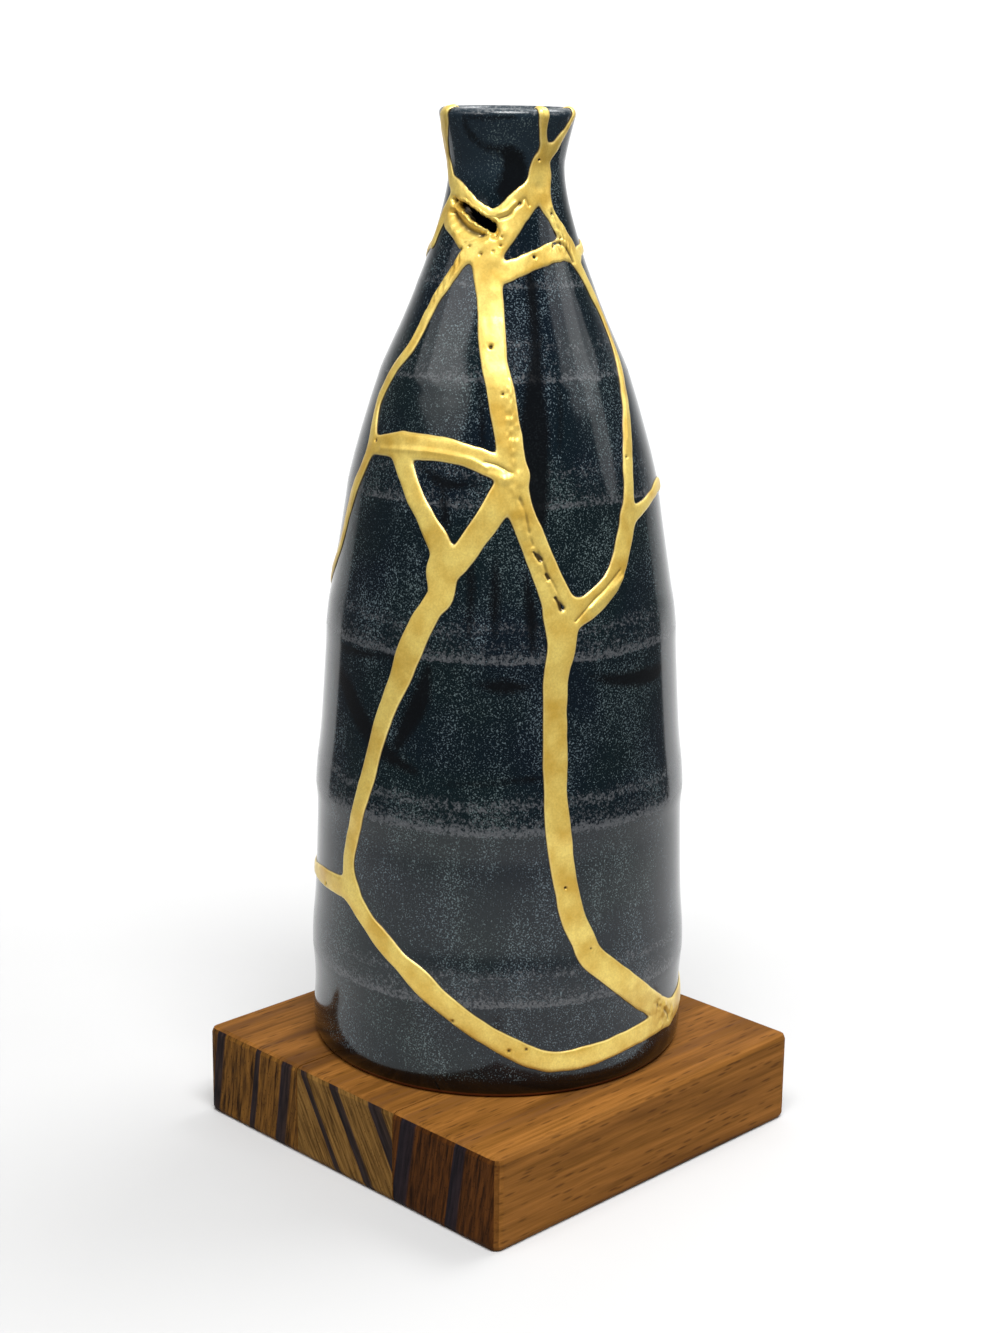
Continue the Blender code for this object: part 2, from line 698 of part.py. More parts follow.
def seam_object(wall_map, web, cap):
    """The gold: a thin web that fills the cracks and a raised, rounded cap over them."""
    shell = Shell(wall_map)
    web_edges = free_edges(web)
    cap_edges = free_edges(cap)
    web_set = set(web_edges)
    cap_set = set(cap_edges)
    raised = seam_edge + (seam_ridge - seam_edge) * np.sqrt(
        np.clip(-wall_map.fields["seam"] / seam_rounding, 0.0, 1.0))

    def top(i):
        return shell.outer(i, seam_underlay + raised[i], "top")

    def under(i):
        return shell.outer(i, seam_underlay, "under")

    def top_lip(i):
        rounds = [shell.lip(i, step, seam_underlay + raised[i], "top lip") for step in range(1, lip_steps + 1)]
        return [top(i)] + rounds

    def under_lip(i):
        rounds = [shell.lip(i, step, seam_underlay, "under lip") for step in range(1, lip_steps + 1)]
        return [under(i)] + rounds

    for a, b, c in web:
        shell.faces.append((top(a), top(b), top(c)))
        shell.faces.append((shell.inner(c), shell.inner(b), shell.inner(a)))
    for a, b, c in cap:
        shell.faces.append((top(a), top(b), top(c)))
        shell.faces.append((under(c), under(b), under(a)))
    rim_web = [e for e in web_edges if wall_map.on_rim[e[0]] and wall_map.on_rim[e[1]]]
    rim_cap = [e for e in cap_edges if wall_map.on_rim[e[0]] and wall_map.on_rim[e[1]]]
    for a, b in web_edges:
        if (b, a) in cap_set:
            shell.faces.append((under(b), under(a), shell.inner(a), shell.inner(b)))
        elif (a, b) not in rim_web:
            shell.faces.append((top(b), top(a), shell.inner(a), shell.inner(b)))
    for a, b in cap_edges:
        if (b, a) not in web_set and (a, b) not in rim_cap:
            shell.faces.append((top(b), top(a), under(a), under(b)))
    for a, b in rim_web:
        shell.strip(top_lip(a), top_lip(b))
        ends = [[top_lip(i)[-1], under_lip(i)[-1], shell.inner(i)] for i in (a, b)]
        shell.strip(*ends)
    for a, b in rim_cap:
        shell.strip(top_lip(a), top_lip(b))
        shell.strip(under_lip(a), under_lip(b))
        shell.strip([top_lip(a)[-1], under_lip(a)[-1]], [top_lip(b)[-1], under_lip(b)[-1]])
    inner_ends = set(run_ends(rim_web))
    for i in inner_ends:
        shell.faces.append(tuple(under_lip(i) + [shell.inner(i)]))
    for i in run_ends(rim_cap):
        if i not in inner_ends:
            shell.faces.append(tuple(top_lip(i) + under_lip(i)[::-1]))
    return shell.mesh_object("gold_seam", "gold")


def add_object(name, mesh, finish):
    colour, metallic, roughness = finishes[finish]
    material = bpy.data.materials.new(name)
    material.use_nodes = True
    shader = material.node_tree.nodes["Principled BSDF"]
    shader.inputs["Base Color"].default_value = (*colour, 1.0)
    shader.inputs["Metallic"].default_value = metallic
    shader.inputs["Roughness"].default_value = roughness
    mesh.materials.append(material)
    part = bpy.data.objects.new(name, mesh)
    bpy.context.scene.collection.objects.link(part)
    return part


def board_object(name, left, right, outer_left, outer_right):
    """One board of the plinth, with only the plinth's own outer edges rounded."""
    back = plinth_depth / 2
    form = bmesh.new()
    corners = [(x, y, z) for z in (0.0, plinth_height) for y in (-back, back) for x in (left, right)]
    points = [form.verts.new(corner) for corner in corners]
    for face in ((0, 2, 3, 1), (4, 5, 7, 6), (0, 1, 5, 4), (2, 6, 7, 3), (0, 4, 6, 2), (1, 3, 7, 5)):
        form.faces.new([points[i] for i in face])

    def on_side(edge):
        x = [point.co.x for point in edge.verts]
        at_left = outer_left and max(x) - left < same_length
        at_right = outer_right and right - min(x) < same_length
        return at_left or at_right

    def is_upright(edge):
        return abs(edge.verts[0].co.z - edge.verts[1].co.z) > same_length

    def is_end(edge):
        return abs(edge.verts[0].co.x - edge.verts[1].co.x) > same_length

    upright = [edge for edge in form.edges if is_upright(edge) and on_side(edge)]
    if upright:
        bmesh.ops.bevel(form, geom=upright, offset=corner_round, segments=corner_steps, profile=0.5,
                        affect="EDGES", clamp_overlap=True)
    joint_faces = [x for x, outer in ((left, outer_left), (right, outer_right)) if not outer]
    rims = []
    for edge in form.edges:
        level = not is_upright(edge)
        on_joint = any(all(abs(point.co.x - x) < same_length for point in edge.verts) for x in joint_faces)
        if level and not on_joint and (is_end(edge) or on_side(edge)):
            rims.append(edge)
    bmesh.ops.bevel(form, geom=rims, offset=edge_round, segments=edge_steps, profile=0.5,
                    affect="EDGES", clamp_overlap=True)
    bmesh.ops.recalc_face_normals(form, faces=form.faces)
    mesh = bpy.data.meshes.new(name)
    form.to_mesh(mesh)
    form.free()
    mesh.shade_smooth()
    mesh.set_sharp_from_angle(angle=math.radians(sharp_degrees))
    return add_object(name, mesh, "board")


def build_plinth():
    """Boards side by side along X, each a clearance from the next."""
    board_width = (plinth_width - (board_count - 1) * clearance) / board_count
    for i in range(board_count):
        left = -plinth_width / 2 + i * (board_width + clearance)
        board_object(f"plinth_board_{i + 1}", left, left + board_width, i == 0, i == board_count - 1)


def build_vase():
    grid = map_grid()
    shard_map = WallMap(grid, ["shard"])
    named = set()
    for triangles in shard_map.regions():
        if shard_map.mean_value(triangles, "shard") <= 0:
            continue
        for name, (bearing, share) in shards.items():
            if name not in named and shard_map.holds(triangles, bearing, share * vase_height):
                shard_object(shard_map, name, triangles)
                named.add(name)
                break
    seam_map = WallMap(grid, ["seam", "web", "slot"])
    web = []
    cap = []
    for triangles in seam_map.regions():
        if seam_map.mean_value(triangles, "slot") <= 0 or seam_map.mean_value(triangles, "seam") > 0:
            continue
        if seam_map.mean_value(triangles, "web") <= 0:
            web += triangles
        else:
            cap += triangles
    seam_object(seam_map, web, cap)


def main():
    for old in list(bpy.data.objects):
        bpy.data.objects.remove(old)
    build_plinth()
    build_vase()


main()
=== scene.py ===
# %% [markdown]
# # A bottle vase, broken once and mended with gold
#
# This file dresses a small thrown bottle vase that was smashed, glued together with lacquer and
# dusted with gold powder, and now stands on a square wooden plinth.  The plain solids of the part
# come in as a fixed frame.  Around them we build what the eye sees: thirteen glazed shards, the
# gold that joins them, three striped boards, and a pale studio.
#
# Everything on the vase is drawn on one flat map of its wall.  Across the map runs the bearing in
# degrees, 0 at the front and growing to the right.  Up the map runs the level, the height above
# the foot, which goes on past the rim and over the lip.  A crack is a line on that map, a shard is
# what lies between cracks, and the gold is what lies near them.

# %% Load the frame
import math

import bmesh
import bpy
import numpy as np
from mathutils import Matrix, Vector


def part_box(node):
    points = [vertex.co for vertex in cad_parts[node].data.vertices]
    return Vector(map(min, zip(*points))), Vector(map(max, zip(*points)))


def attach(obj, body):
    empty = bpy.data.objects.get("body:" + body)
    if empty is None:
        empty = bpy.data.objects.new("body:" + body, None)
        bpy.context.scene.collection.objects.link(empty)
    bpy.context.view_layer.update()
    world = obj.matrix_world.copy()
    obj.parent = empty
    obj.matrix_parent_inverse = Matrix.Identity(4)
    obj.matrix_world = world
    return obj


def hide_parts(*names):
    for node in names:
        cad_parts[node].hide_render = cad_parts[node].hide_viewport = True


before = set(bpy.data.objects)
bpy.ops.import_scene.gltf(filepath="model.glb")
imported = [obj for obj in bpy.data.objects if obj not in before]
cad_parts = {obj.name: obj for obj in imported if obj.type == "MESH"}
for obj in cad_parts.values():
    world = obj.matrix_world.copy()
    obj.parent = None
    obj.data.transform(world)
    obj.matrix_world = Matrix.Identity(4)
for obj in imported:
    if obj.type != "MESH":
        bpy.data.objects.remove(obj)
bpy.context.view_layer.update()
millimetre = 0.001
plinth_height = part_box("plinth_board_1")[1].z
print("plinth height in mm:", round(plinth_height / millimetre, 2))

# %% [markdown]
# ## The turned wall
#
# The pot was thrown on a wheel, so its wall is a profile turned about an axis.  One could spin a
# curve with a modifier.  Here the profile is a table of radius against level instead, because the
# cracks and the gold need to ask for a point of the wall, and a point a little way off it, at any
# place on the map.

# %% The profile
vase_height = 0.2178
belly_radius = 0.0446
neck_radius = 0.0130
lip_radius = 0.0156
body_wall = 0.0050
neck_wall = 0.0030
floor_thickness = 0.0038
foot_recess = 0.0012
foot_ring_width = 0.0040
foot_turn_in = 0.0011
foot_level = 0.0035
cove_radius = 0.0015
vase_off_centre = (-0.0039, 0.0031)
front_bearing = -45.0
foot_gap = 0.0003
vase_bottom = plinth_height + foot_gap
rim_level = vase_height - neck_wall / 2

# Share of the height, and share of the way from the neck's radius to the belly's
wall_outline = [
    (0.000, 1.000), (0.030, 0.996), (0.064, 0.986), (0.110, 0.999), (0.165, 0.977),
    (0.255, 0.958), (0.294, 0.962), (0.350, 0.928), (0.422, 0.896), (0.478, 0.873),
    (0.514, 0.832), (0.570, 0.769), (0.625, 0.706), (0.680, 0.605), (0.735, 0.481),
    (0.790, 0.314), (0.845, 0.163), (0.900, 0.045), (0.937, 0.000), (0.960, 0.016),
    (1.000, (lip_radius - neck_radius) / (belly_radius - neck_radius)),
]


def smooth_course(points, steps):
    """A smooth curve through the points, with that many samples in each span.

    Catmull-Rom: each span is the cubic that leaves along the line from the point before to the
    point after, and arrives in the same way.
    """
    points = np.array(points, float)
    padded = np.vstack([2 * points[0] - points[1], points, 2 * points[-1] - points[-2]])
    before, start, end, after = (padded[i:len(padded) - 3 + i, None] for i in range(4))
    t = (np.arange(steps) / steps)[None, :, None]
    spans = 0.5 * (2 * start + (end - before) * t
                   + (2 * before - 5 * start + 4 * end - after) * t ** 2
                   + (3 * start - before - 3 * end + after) * t ** 3)
    return np.vstack([spans.reshape(-1, points.shape[1]), points[-1:]])


profile = smooth_course(wall_outline, 20)
table_level = profile[:, 0] * vase_height
table_radius = neck_radius + profile[:, 1] * (belly_radius - neck_radius)
table_slope = np.gradient(table_radius, table_level)
print("profile samples:", len(table_level))

# %% [markdown]
# ## Throwing rings
#
# The potter's fingers left a soft ridge at each rise of the wheel.  Each is crisp below, where the
# finger pressed, and fades upwards.  Low on the body two broad swellings show at the outline as
# well.  All this is real relief, a tenth to a quarter of a millimetre, so it belongs in the mesh:
# it bends the long reflections at the sides of the vase.

# %% Ring relief
ring_shares = [0.100, 0.285, 0.463, 0.615, 0.735, 0.825]
ring_depth = 0.10 * millimetre
ring_crisp = 1.8 * millimetre
ring_fade = 7.0 * millimetre
swelling_shares = [0.130, 0.310]
swelling_height = 0.14 * millimetre
swelling_reach = 6.0 * millimetre


def ring_relief(level):
    """How far the rings and swellings stand off the wall.

    A ring is exp(-rise / fade) above its line and a steep bell curve below it, and a swelling is a
    wide bell curve both ways.
    """
    rise = level[..., None] - np.array(ring_shares) * vase_height
    above = np.exp(-np.maximum(rise, 0.0) / ring_fade)
    below = np.exp(-(np.minimum(rise, 0.0) / ring_crisp) ** 2)
    away = level[..., None] - np.array(swelling_shares) * vase_height
    swellings = swelling_height * np.exp(-(away / swelling_reach) ** 2).sum(axis=-1)
    return ring_depth * np.where(rise > 0.0, above, below).sum(axis=-1) + swellings


def wall_thickness(level):
    """The wall thins from the body to the neck, along with the radius."""
    share = (np.interp(level, table_level, table_radius) - neck_radius) / (belly_radius - neck_radius)
    return neck_wall + (body_wall - neck_wall) * np.clip(share, 0.0, 1.0)


def section(level, out):
    """Radius and height of the point `out` from the outer wall, along the wall's normal."""
    slope = np.interp(level, table_level, table_slope)
    length = np.sqrt(1.0 + slope ** 2)
    out = out + ring_relief(level) * (out > -millimetre)
    return np.interp(level, table_level, table_radius) + out / length, level - out * slope / length


def turned(bearing, radius, height):
    """Points in space: the bearing and radius go round the vase's axis, the height up from its foot."""
    angle = np.radians(front_bearing + bearing)
    x = vase_off_centre[0] + radius * np.cos(angle)
    y = vase_off_centre[1] + radius * np.sin(angle)
    return np.stack([x, y, vase_bottom + height + 0 * x], axis=-1)


def over_lip(level, out):
    """Radius and height past the rim: a half circle over the lip, then down the inner wall.

    The level past the rim is a length along the surface, so on the half circle the angle is that
    length over the half circle's radius.
    """
    half = neck_wall / 2
    middle_radius, middle_height = section(rim_level + 0 * level, -half)
    edge_radius, edge_height = section(rim_level + 0 * level, 0.0)
    length = np.hypot(edge_radius - middle_radius, edge_height - middle_height)
    across = (edge_radius - middle_radius) / length
    up = (edge_height - middle_height) / length
    angle = np.clip((level - rim_level) / half, 0.0, math.pi)
    reach = half + out
    radius = middle_radius + reach * (across * np.cos(angle) - up * np.sin(angle))
    height = middle_height + reach * (up * np.cos(angle) + across * np.sin(angle))
    down = rim_level - np.maximum(level - rim_level - math.pi * half, 0.0)
    inner_radius, inner_height = section(down, -wall_thickness(down) - out)
    inside = level > rim_level + math.pi * half
    return np.where(inside, inner_radius, radius), np.where(inside, inner_height, height)


def wall_point(bearing, level, out):
    """Points `out` from the wall's surface, which runs up the outside, over the lip and down inside."""
    wall_radius, wall_height = section(np.minimum(level, rim_level), out)
    lip_radius_there, lip_height_there = over_lip(np.maximum(level, rim_level), out)
    past = level > rim_level
    radius = np.where(past, lip_radius_there, wall_radius)
    height = np.where(past, lip_height_there, wall_height)
    return turned(bearing, radius, height)


# %% [markdown]
# ## The cracks
#
# Each crack is a short list of points on the map: bearing, share of the vase's height, and half
# the width of the gold there in millimetres.  The front ones follow the photograph, and the back
# ones carry on in the same manner, a little plainer.

# %% Crack courses
cracks = {
    "left_neck": [(-62, 1.012, 2.2), (-66, 0.990, 2.1), (-77, 0.970, 2.0), (-81, 0.950, 1.9),
                  (-69, 0.933, 1.6), (-54, 0.921, 1.6)],
    "neck_bow_left": [(-54, 0.921, 1.6), (-40, 0.916, 1.4), (-30, 0.908, 1.3), (-21, 0.902, 1.3),
                      (-13, 0.898, 1.3), (-3, 0.900, 1.7), (12, 0.908, 2.4)],
    "neck_bow_right": [(12, 0.908, 2.6), (19, 0.914, 2.9), (30, 0.925, 2.8), (35, 0.935, 2.4)],
    "neck_right": [(35, 0.935, 2.4), (35, 0.948, 2.2), (38, 0.957, 1.6)],
    "rim_front": [(38, 0.957, 1.5), (34, 0.973, 1.1), (32, 0.988, 1.2), (32, 1.000, 1.5),
                  (32, 1.012, 1.7)],
    "rim_right": [(38, 0.957, 1.6), (50, 0.965, 1.3), (59, 0.977, 1.1), (68, 0.989, 1.0),
                  (75, 1.000, 1.1), (76, 1.012, 1.2)],
    "left_collar": [(-54, 0.921, 1.6), (-61, 0.908, 1.3), (-67, 0.896, 1.7), (-72, 0.880, 1.3),
                    (-76, 0.866, 1.2)],
    "crown_left": [(-61, 0.902, 1.7), (-46, 0.884, 2.0), (-30, 0.874, 3.0), (-15, 0.863, 3.4)],
    "crown_right": [(12, 0.907, 3.1), (3, 0.889, 2.9), (-7, 0.874, 3.3), (-15, 0.863, 3.5)],
    "right_collar": [(35, 0.935, 2.6), (38, 0.909, 2.1), (44, 0.894, 1.7), (51, 0.878, 1.9),
                     (56, 0.863, 2.1)],
    "branch": [(-12, 0.845, 3.0), (0, 0.843, 2.7), (10, 0.848, 2.2), (26, 0.856, 2.3), (42, 0.862, 2.5),
               (56, 0.862, 2.2)],
    "spine_top": [(-15, 0.863, 3.5), (-12, 0.845, 3.3), (-9, 0.817, 2.9), (-7, 0.785, 2.9),
                  (-5, 0.760, 3.0), (-2, 0.735, 3.1), (1, 0.700, 3.2), (3, 0.671, 3.1), (4, 0.650, 2.9)],
    "spine_low": [(4, 0.650, 2.8), (6, 0.620, 3.0), (10, 0.590, 2.9), (15, 0.550, 3.1), (20, 0.510, 4.0)],
    "left_slant": [(-15, 0.863, 3.2), (-25, 0.861, 2.6), (-33, 0.852, 1.6), (-44, 0.822, 1.5),
                   (-49, 0.800, 1.4), (-54, 0.765, 1.6), (-61, 0.742, 1.5), (-66, 0.715, 1.3),
                   (-66, 0.695, 1.3), (-62, 0.665, 1.8)],
    "cross": [(-62, 0.665, 1.8), (-44, 0.670, 2.9), (-29, 0.672, 2.9), (-17, 0.669, 2.7),
              (-7, 0.662, 2.7), (4, 0.650, 2.9)],
    "left_down": [(-62, 0.665, 1.9), (-65, 0.638, 1.6), (-72, 0.592, 1.5), (-78, 0.545, 1.6),
                  (-95, 0.505, 2.0), (-125, 0.480, 2.2), (-165, 0.470, 2.1)],
    "triangle_left": [(-44, 0.670, 3.0), (-35, 0.632, 2.3), (-27, 0.602, 2.4), (-21, 0.575, 2.7),
                      (-20, 0.553, 3.3)],
    "triangle_right": [(4, 0.650, 2.9), (-4, 0.611, 2.8), (-10, 0.585, 2.6), (-15, 0.563, 2.8),
                       (-20, 0.553, 3.1)],
    "left_leg": [(-20, 0.553, 3.4), (-20, 0.530, 3.1), (-23, 0.515, 2.8), (-26, 0.498, 3.1),
                 (-29, 0.475, 3.1), (-33, 0.438, 2.6), (-38, 0.400, 2.4), (-41, 0.370, 2.3),
                 (-44, 0.325, 2.2), (-47, 0.290, 2.3), (-51, 0.250, 2.3), (-52, 0.225, 2.3),
                 (-51, 0.200, 2.9)],
    "left_foot": [(-51, 0.200, 2.9), (-63, 0.197, 2.3), (-82, 0.189, 2.0), (-105, 0.170, 2.2),
                  (-140, 0.120, 2.2), (-180, 0.075, 2.2)],
    "hem": [(-51, 0.200, 2.9), (-44, 0.177, 2.5), (-37, 0.159, 2.5), (-30, 0.141, 2.4), (-23, 0.124, 2.8),
            (-15, 0.101, 2.8), (-6, 0.078, 2.7), (1, 0.063, 2.7), (7, 0.051, 2.6), (13, 0.041, 2.4),
            (19, 0.037, 2.4), (29, 0.038, 2.6), (40, 0.042, 2.6), (52, 0.045, 2.6), (67, 0.045, 2.7)],
    "right_leg": [(20, 0.510, 4.0), (19, 0.478, 3.4), (17.5, 0.456, 3.0), (17, 0.427, 3.0),
                  (17, 0.344, 2.9), (17.5, 0.300, 3.0), (19, 0.259, 3.0), (21, 0.220, 2.9),
                  (23, 0.192, 3.0), (26, 0.170, 3.2), (29, 0.148, 3.3), (36, 0.125, 3.3),
                  (44, 0.101, 3.3), (54, 0.074, 3.1), (67, 0.045, 2.9)],
    "right_fork": [(20, 0.510, 4.0), (28, 0.515, 3.0), (34, 0.526, 2.9), (40, 0.541, 2.8),
                   (44, 0.560, 2.6), (47, 0.579, 2.6), (50, 0.600, 2.5)],
    "right_rise": [(50, 0.600, 2.5), (52, 0.622, 2.1), (54, 0.647, 1.9), (58, 0.675, 1.8),
                   (63, 0.704, 1.5), (67, 0.733, 1.4), (72, 0.760, 1.3), (74, 0.785, 1.3),
                   (72, 0.807, 1.4), (66, 0.832, 1.5), (61, 0.848, 1.7), (56, 0.863, 2.2)],
    "right_side": [(50, 0.600, 2.4), (60, 0.606, 1.7), (72, 0.615, 1.6), (83, 0.618, 1.6),
                   (110, 0.600, 2.0), (140, 0.540, 2.1), (195, 0.470, 2.0)],
    "right_back": [(56, 0.863, 2.0), (64, 0.855, 1.5), (76, 0.860, 1.3), (105, 0.862, 1.9),
                   (145, 0.846, 1.8), (190, 0.834, 1.8)],
    "back_collar": [(-76, 0.866, 1.3), (-110, 0.848, 1.8), (-150, 0.836, 1.7), (-170, 0.834, 1.8)],
    "back_spine": [(190, 0.834, 1.9), (182, 0.760, 2.1), (178, 0.660, 2.2), (186, 0.560, 2.1),
                   (195, 0.470, 2.3)],
    "back_leg": [(195, 0.470, 2.2), (186, 0.380, 2.1), (190, 0.270, 2.2), (176, 0.160, 2.1),
                 (180, 0.075, 2.3)],
    "back_hem": [(67, 0.045, 2.8), (95, 0.050, 2.5), (135, 0.060, 2.3), (180, 0.075, 2.3)],
}
# A chip was lost below the neck: part of it is filled with gold, and a slot of it is still open
open_slot = [(-50, 0.908, 0.7), (-38, 0.903, 1.1), (-26, 0.895, 1.2), (-12, 0.887, 1.2)]
filled_chip = [(-52, 0.893, 2.4), (-38, 0.885, 2.6), (-24, 0.878, 2.8), (-8, 0.884, 2.6)]
print("cracks:", len(cracks))

# %% [markdown]
# ## Distance on the map
#
# Both shards and gold need to know how far each place lies from the cracks.  A course is sampled
# into short straight lines, and the distance to a line is the length of what is left of the way
# to it after going along it as far as it helps.  Where several seams meet, the gold ran together
# in a soft web.  A plain minimum would give sharp corners there, so the seams are joined with the
# soft minimum, minus k times the logarithm of the sum of exp(-distance / k).

# %% Distance fields
reach = 7.0 * millimetre
fillet = 0.5 * millimetre


def distance_to_course(bearing, level, course):
    """Distance to the course's middle, and the half width there; far places get the reach and 0."""
    flat = smooth_course(course, 6)
    line = turned(flat[:, 0], *section(flat[:, 1] * vase_height, 0.0))
    places = turned(bearing, *section(level, 0.0))
    far = np.full(len(places), reach)
    width = np.zeros(len(places))
    for a, b, width_a, width_b in zip(line[:-1], line[1:], flat[:-1, 2], flat[1:, 2]):
        box = np.abs(places - (a + b) / 2).max(axis=1) < reach + np.abs(b - a).max() / 2
        here = places[box]
        along = b - a
        t = np.clip((here - a) @ along / (along @ along), 0.0, 1.0)
        gap = np.linalg.norm(here - a - t[:, None] * along, axis=1)
        nearer = gap < far[box]
        spot = np.flatnonzero(box)[nearer]
        far[spot] = gap[nearer]
        width[spot] = (width_a + (width_b - width_a) * t[nearer]) * millimetre
    return far, width


def in_part_of_map(bearing, level, course):
    """Places near enough to a course to be worth measuring."""
    points = np.array(course, float)
    middle = (points[:, 0].min() + points[:, 0].max()) / 2
    turn = (bearing - middle + 180.0) % 360.0 - 180.0
    margin = math.degrees(reach / neck_radius)
    near = np.abs(turn) < (np.ptp(points[:, 0]) / 2 + margin)
    heights = points[:, 1] * vase_height
    return near & (level > heights.min() - reach) & (level < heights.max() + reach)


def measure(bearing, level):
    """Crack distance, depth inside the gold's edge, and distance to the open slot and filled chip."""
    shape = bearing.shape
    bearing = bearing.ravel()
    level = level.ravel()
    crack = np.full(bearing.size, reach)
    soft = np.zeros(bearing.size)
    for course in cracks.values():
        near = in_part_of_map(bearing, level, course)
        far, width = distance_to_course(bearing[near], level[near], course)
        crack[near] = np.minimum(crack[near], far)
        soft[near] += np.where(far < reach, np.exp((width - far) / fillet), 0.0)
    mends = {}
    for name, course in (("slot", open_slot), ("chip", filled_chip)):
        near = in_part_of_map(bearing, level, course)
        mends[name] = np.full(bearing.size, reach)
        far, width = distance_to_course(bearing[near], level[near], course)
        mends[name][near] = far - width
    depth = fillet * np.log(np.maximum(soft, 1e-9))
    fields = {"crack": crack, "depth": depth, **mends}
    return {name: values.reshape(shape) for name, values in fields.items()}


def course_field(bearing, level, courses):
    """How far inside the widest of some courses each place lies, in metres; outside is negative."""
    inside = np.full(bearing.size, -reach)
    for course in courses:
        near = in_part_of_map(bearing, level, course)
        far, width = distance_to_course(bearing[near], level[near], course)
        inside[near] = np.maximum(inside[near], width - far)
    return inside


# %% [markdown]
# ## Small irregularity
#
# Nothing done by hand is even.  Waves of a chosen length are made from a lattice of random
# numbers, blended smoothly between neighbours.  The lattice closes round the vase, so no seam
# shows at the back.  Long and short waves are laid over each other.

# %% Hand-made waves
def waves(bearing, level, length, seed):
    """Random waves of about that length in metres, from -1 to 1.

    The value is the smooth blend, 3t^2 - 2t^3 each way, of the four lattice values around a place.
    """
    columns = max(3, round(math.tau * belly_radius / length))
    rows = math.ceil(1.2 * vase_height / length) + 2
    lattice = np.random.default_rng(seed).uniform(-1.0, 1.0, (rows, columns))
    u = (np.asarray(bearing) % 360.0) / 360.0 * columns
    v = np.clip(np.asarray(level) / length + 1.0, 0.0, rows - 1.001)
    i = np.floor(u).astype(int)
    j = np.floor(v).astype(int)
    s = (u - i) ** 2 * (3 - 2 * (u - i))
    t = (v - j) ** 2 * (3 - 2 * (v - j))
    i, right = i % columns, (i + 1) % columns
    low = lattice[j, i] * (1 - s) + lattice[j, right] * s
    high = lattice[j + 1, i] * (1 - s) + lattice[j + 1, right] * s
    return low * (1 - t) + high * t


def layered_waves(bearing, level, layers):
    """The sum of some waves; each layer gives its height, its length in millimetres and its seed."""
    return sum(height * waves(bearing, level, length * millimetre, seed) for height, length, seed in layers)


# %% [markdown]
# ## From arrays to a piece
#
# A piece is an array of points and an array of four-sided faces.  The mesh takes both at once.
# Points that fall together, as at a pole or on the crown of the lip, are merged afterwards.

# %% Making a mesh
merge_distance = 1e-6


def quads(low, high, left, right):
    """Four-sided faces between the rows that start at low and high and the columns left and right."""
    return np.stack([low + left, low + right, high + right, high + left], axis=-1)


def add_piece(name, points, faces, stands_for=(), merge=True, attributes=None):
    """A mesh object from arrays, riding on the vase's one body."""
    mesh = bpy.data.meshes.new(name)
    mesh.vertices.add(len(points))
    mesh.vertices.foreach_set("co", np.ascontiguousarray(points, dtype=np.float32).ravel())
    mesh.loops.add(faces.size)
    mesh.loops.foreach_set("vertex_index", np.ascontiguousarray(faces, dtype=np.int32).ravel())
    mesh.polygons.add(len(faces))
    mesh.polygons.foreach_set("loop_start", np.arange(0, faces.size, faces.shape[1], dtype=np.int32))
    mesh.update(calc_edges=True)
    for key, values in (attributes or {}).items():
        layer = mesh.attributes.new(key, "FLOAT", "POINT")
        layer.data.foreach_set("value", np.ascontiguousarray(values, dtype=np.float32))
    if merge:
        form = bmesh.new()
        form.from_mesh(mesh)
        bmesh.ops.remove_doubles(form, verts=form.verts, dist=merge_distance)
        form.to_mesh(mesh)
        form.free()
    mesh.validate()
    mesh.shade_smooth()
    piece = bpy.data.objects.new(name, mesh)
    bpy.context.scene.collection.objects.link(piece)
    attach(piece, "root")
    if stands_for:
        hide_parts(*stands_for)
    print(f"{name}: {sum(len(p.vertices) - 2 for p in mesh.polygons)} triangles")
    return piece


# %% [markdown]
# ## The shards
#
# Each shard is a closed shell: the glazed outside, the inside, and the broken faces between them.
# Outside and inside are two sheets over the same grid of the map, so a face of one always has its
# partner on the other.  Past the rim the two sheets run over the lip and meet on its crown.  Below
# the foot one turns under the ring and the other lies on the floor, and each ends in a pole.
#
# The grid doesn't follow the cracks.  Faces that lie wholly on a shard are kept, and the points on
# their ragged border are pushed out to the crack: each moves against the slope of the distance
# field by as much as it is away from the line.

# %% The shards' grid
# Columns are that many degrees apart
column_step = 1.2
row_step = 1.1 * millimetre
shard_gap = 0.5 * millimetre
label_gap = 0.85 * millimetre
slot_lining = 1.1 * millimetre

lip_levels = rim_level + neck_wall / 2 * np.linspace(0.0, math.pi / 2, 6)[1:]
wall_levels = np.linspace(foot_level, rim_level, 1 + round((rim_level - foot_level) / row_step))
foot_radius = float(section(np.array(foot_level), 0.0)[0])
ring_outer = foot_radius - foot_turn_in
ring_inner = ring_outer - foot_ring_width
inner_foot_radius = float(section(np.array(foot_level), -wall_thickness(foot_level))[0])
floor_top = foot_recess + floor_thickness
lift = floor_top + cove_radius - foot_level

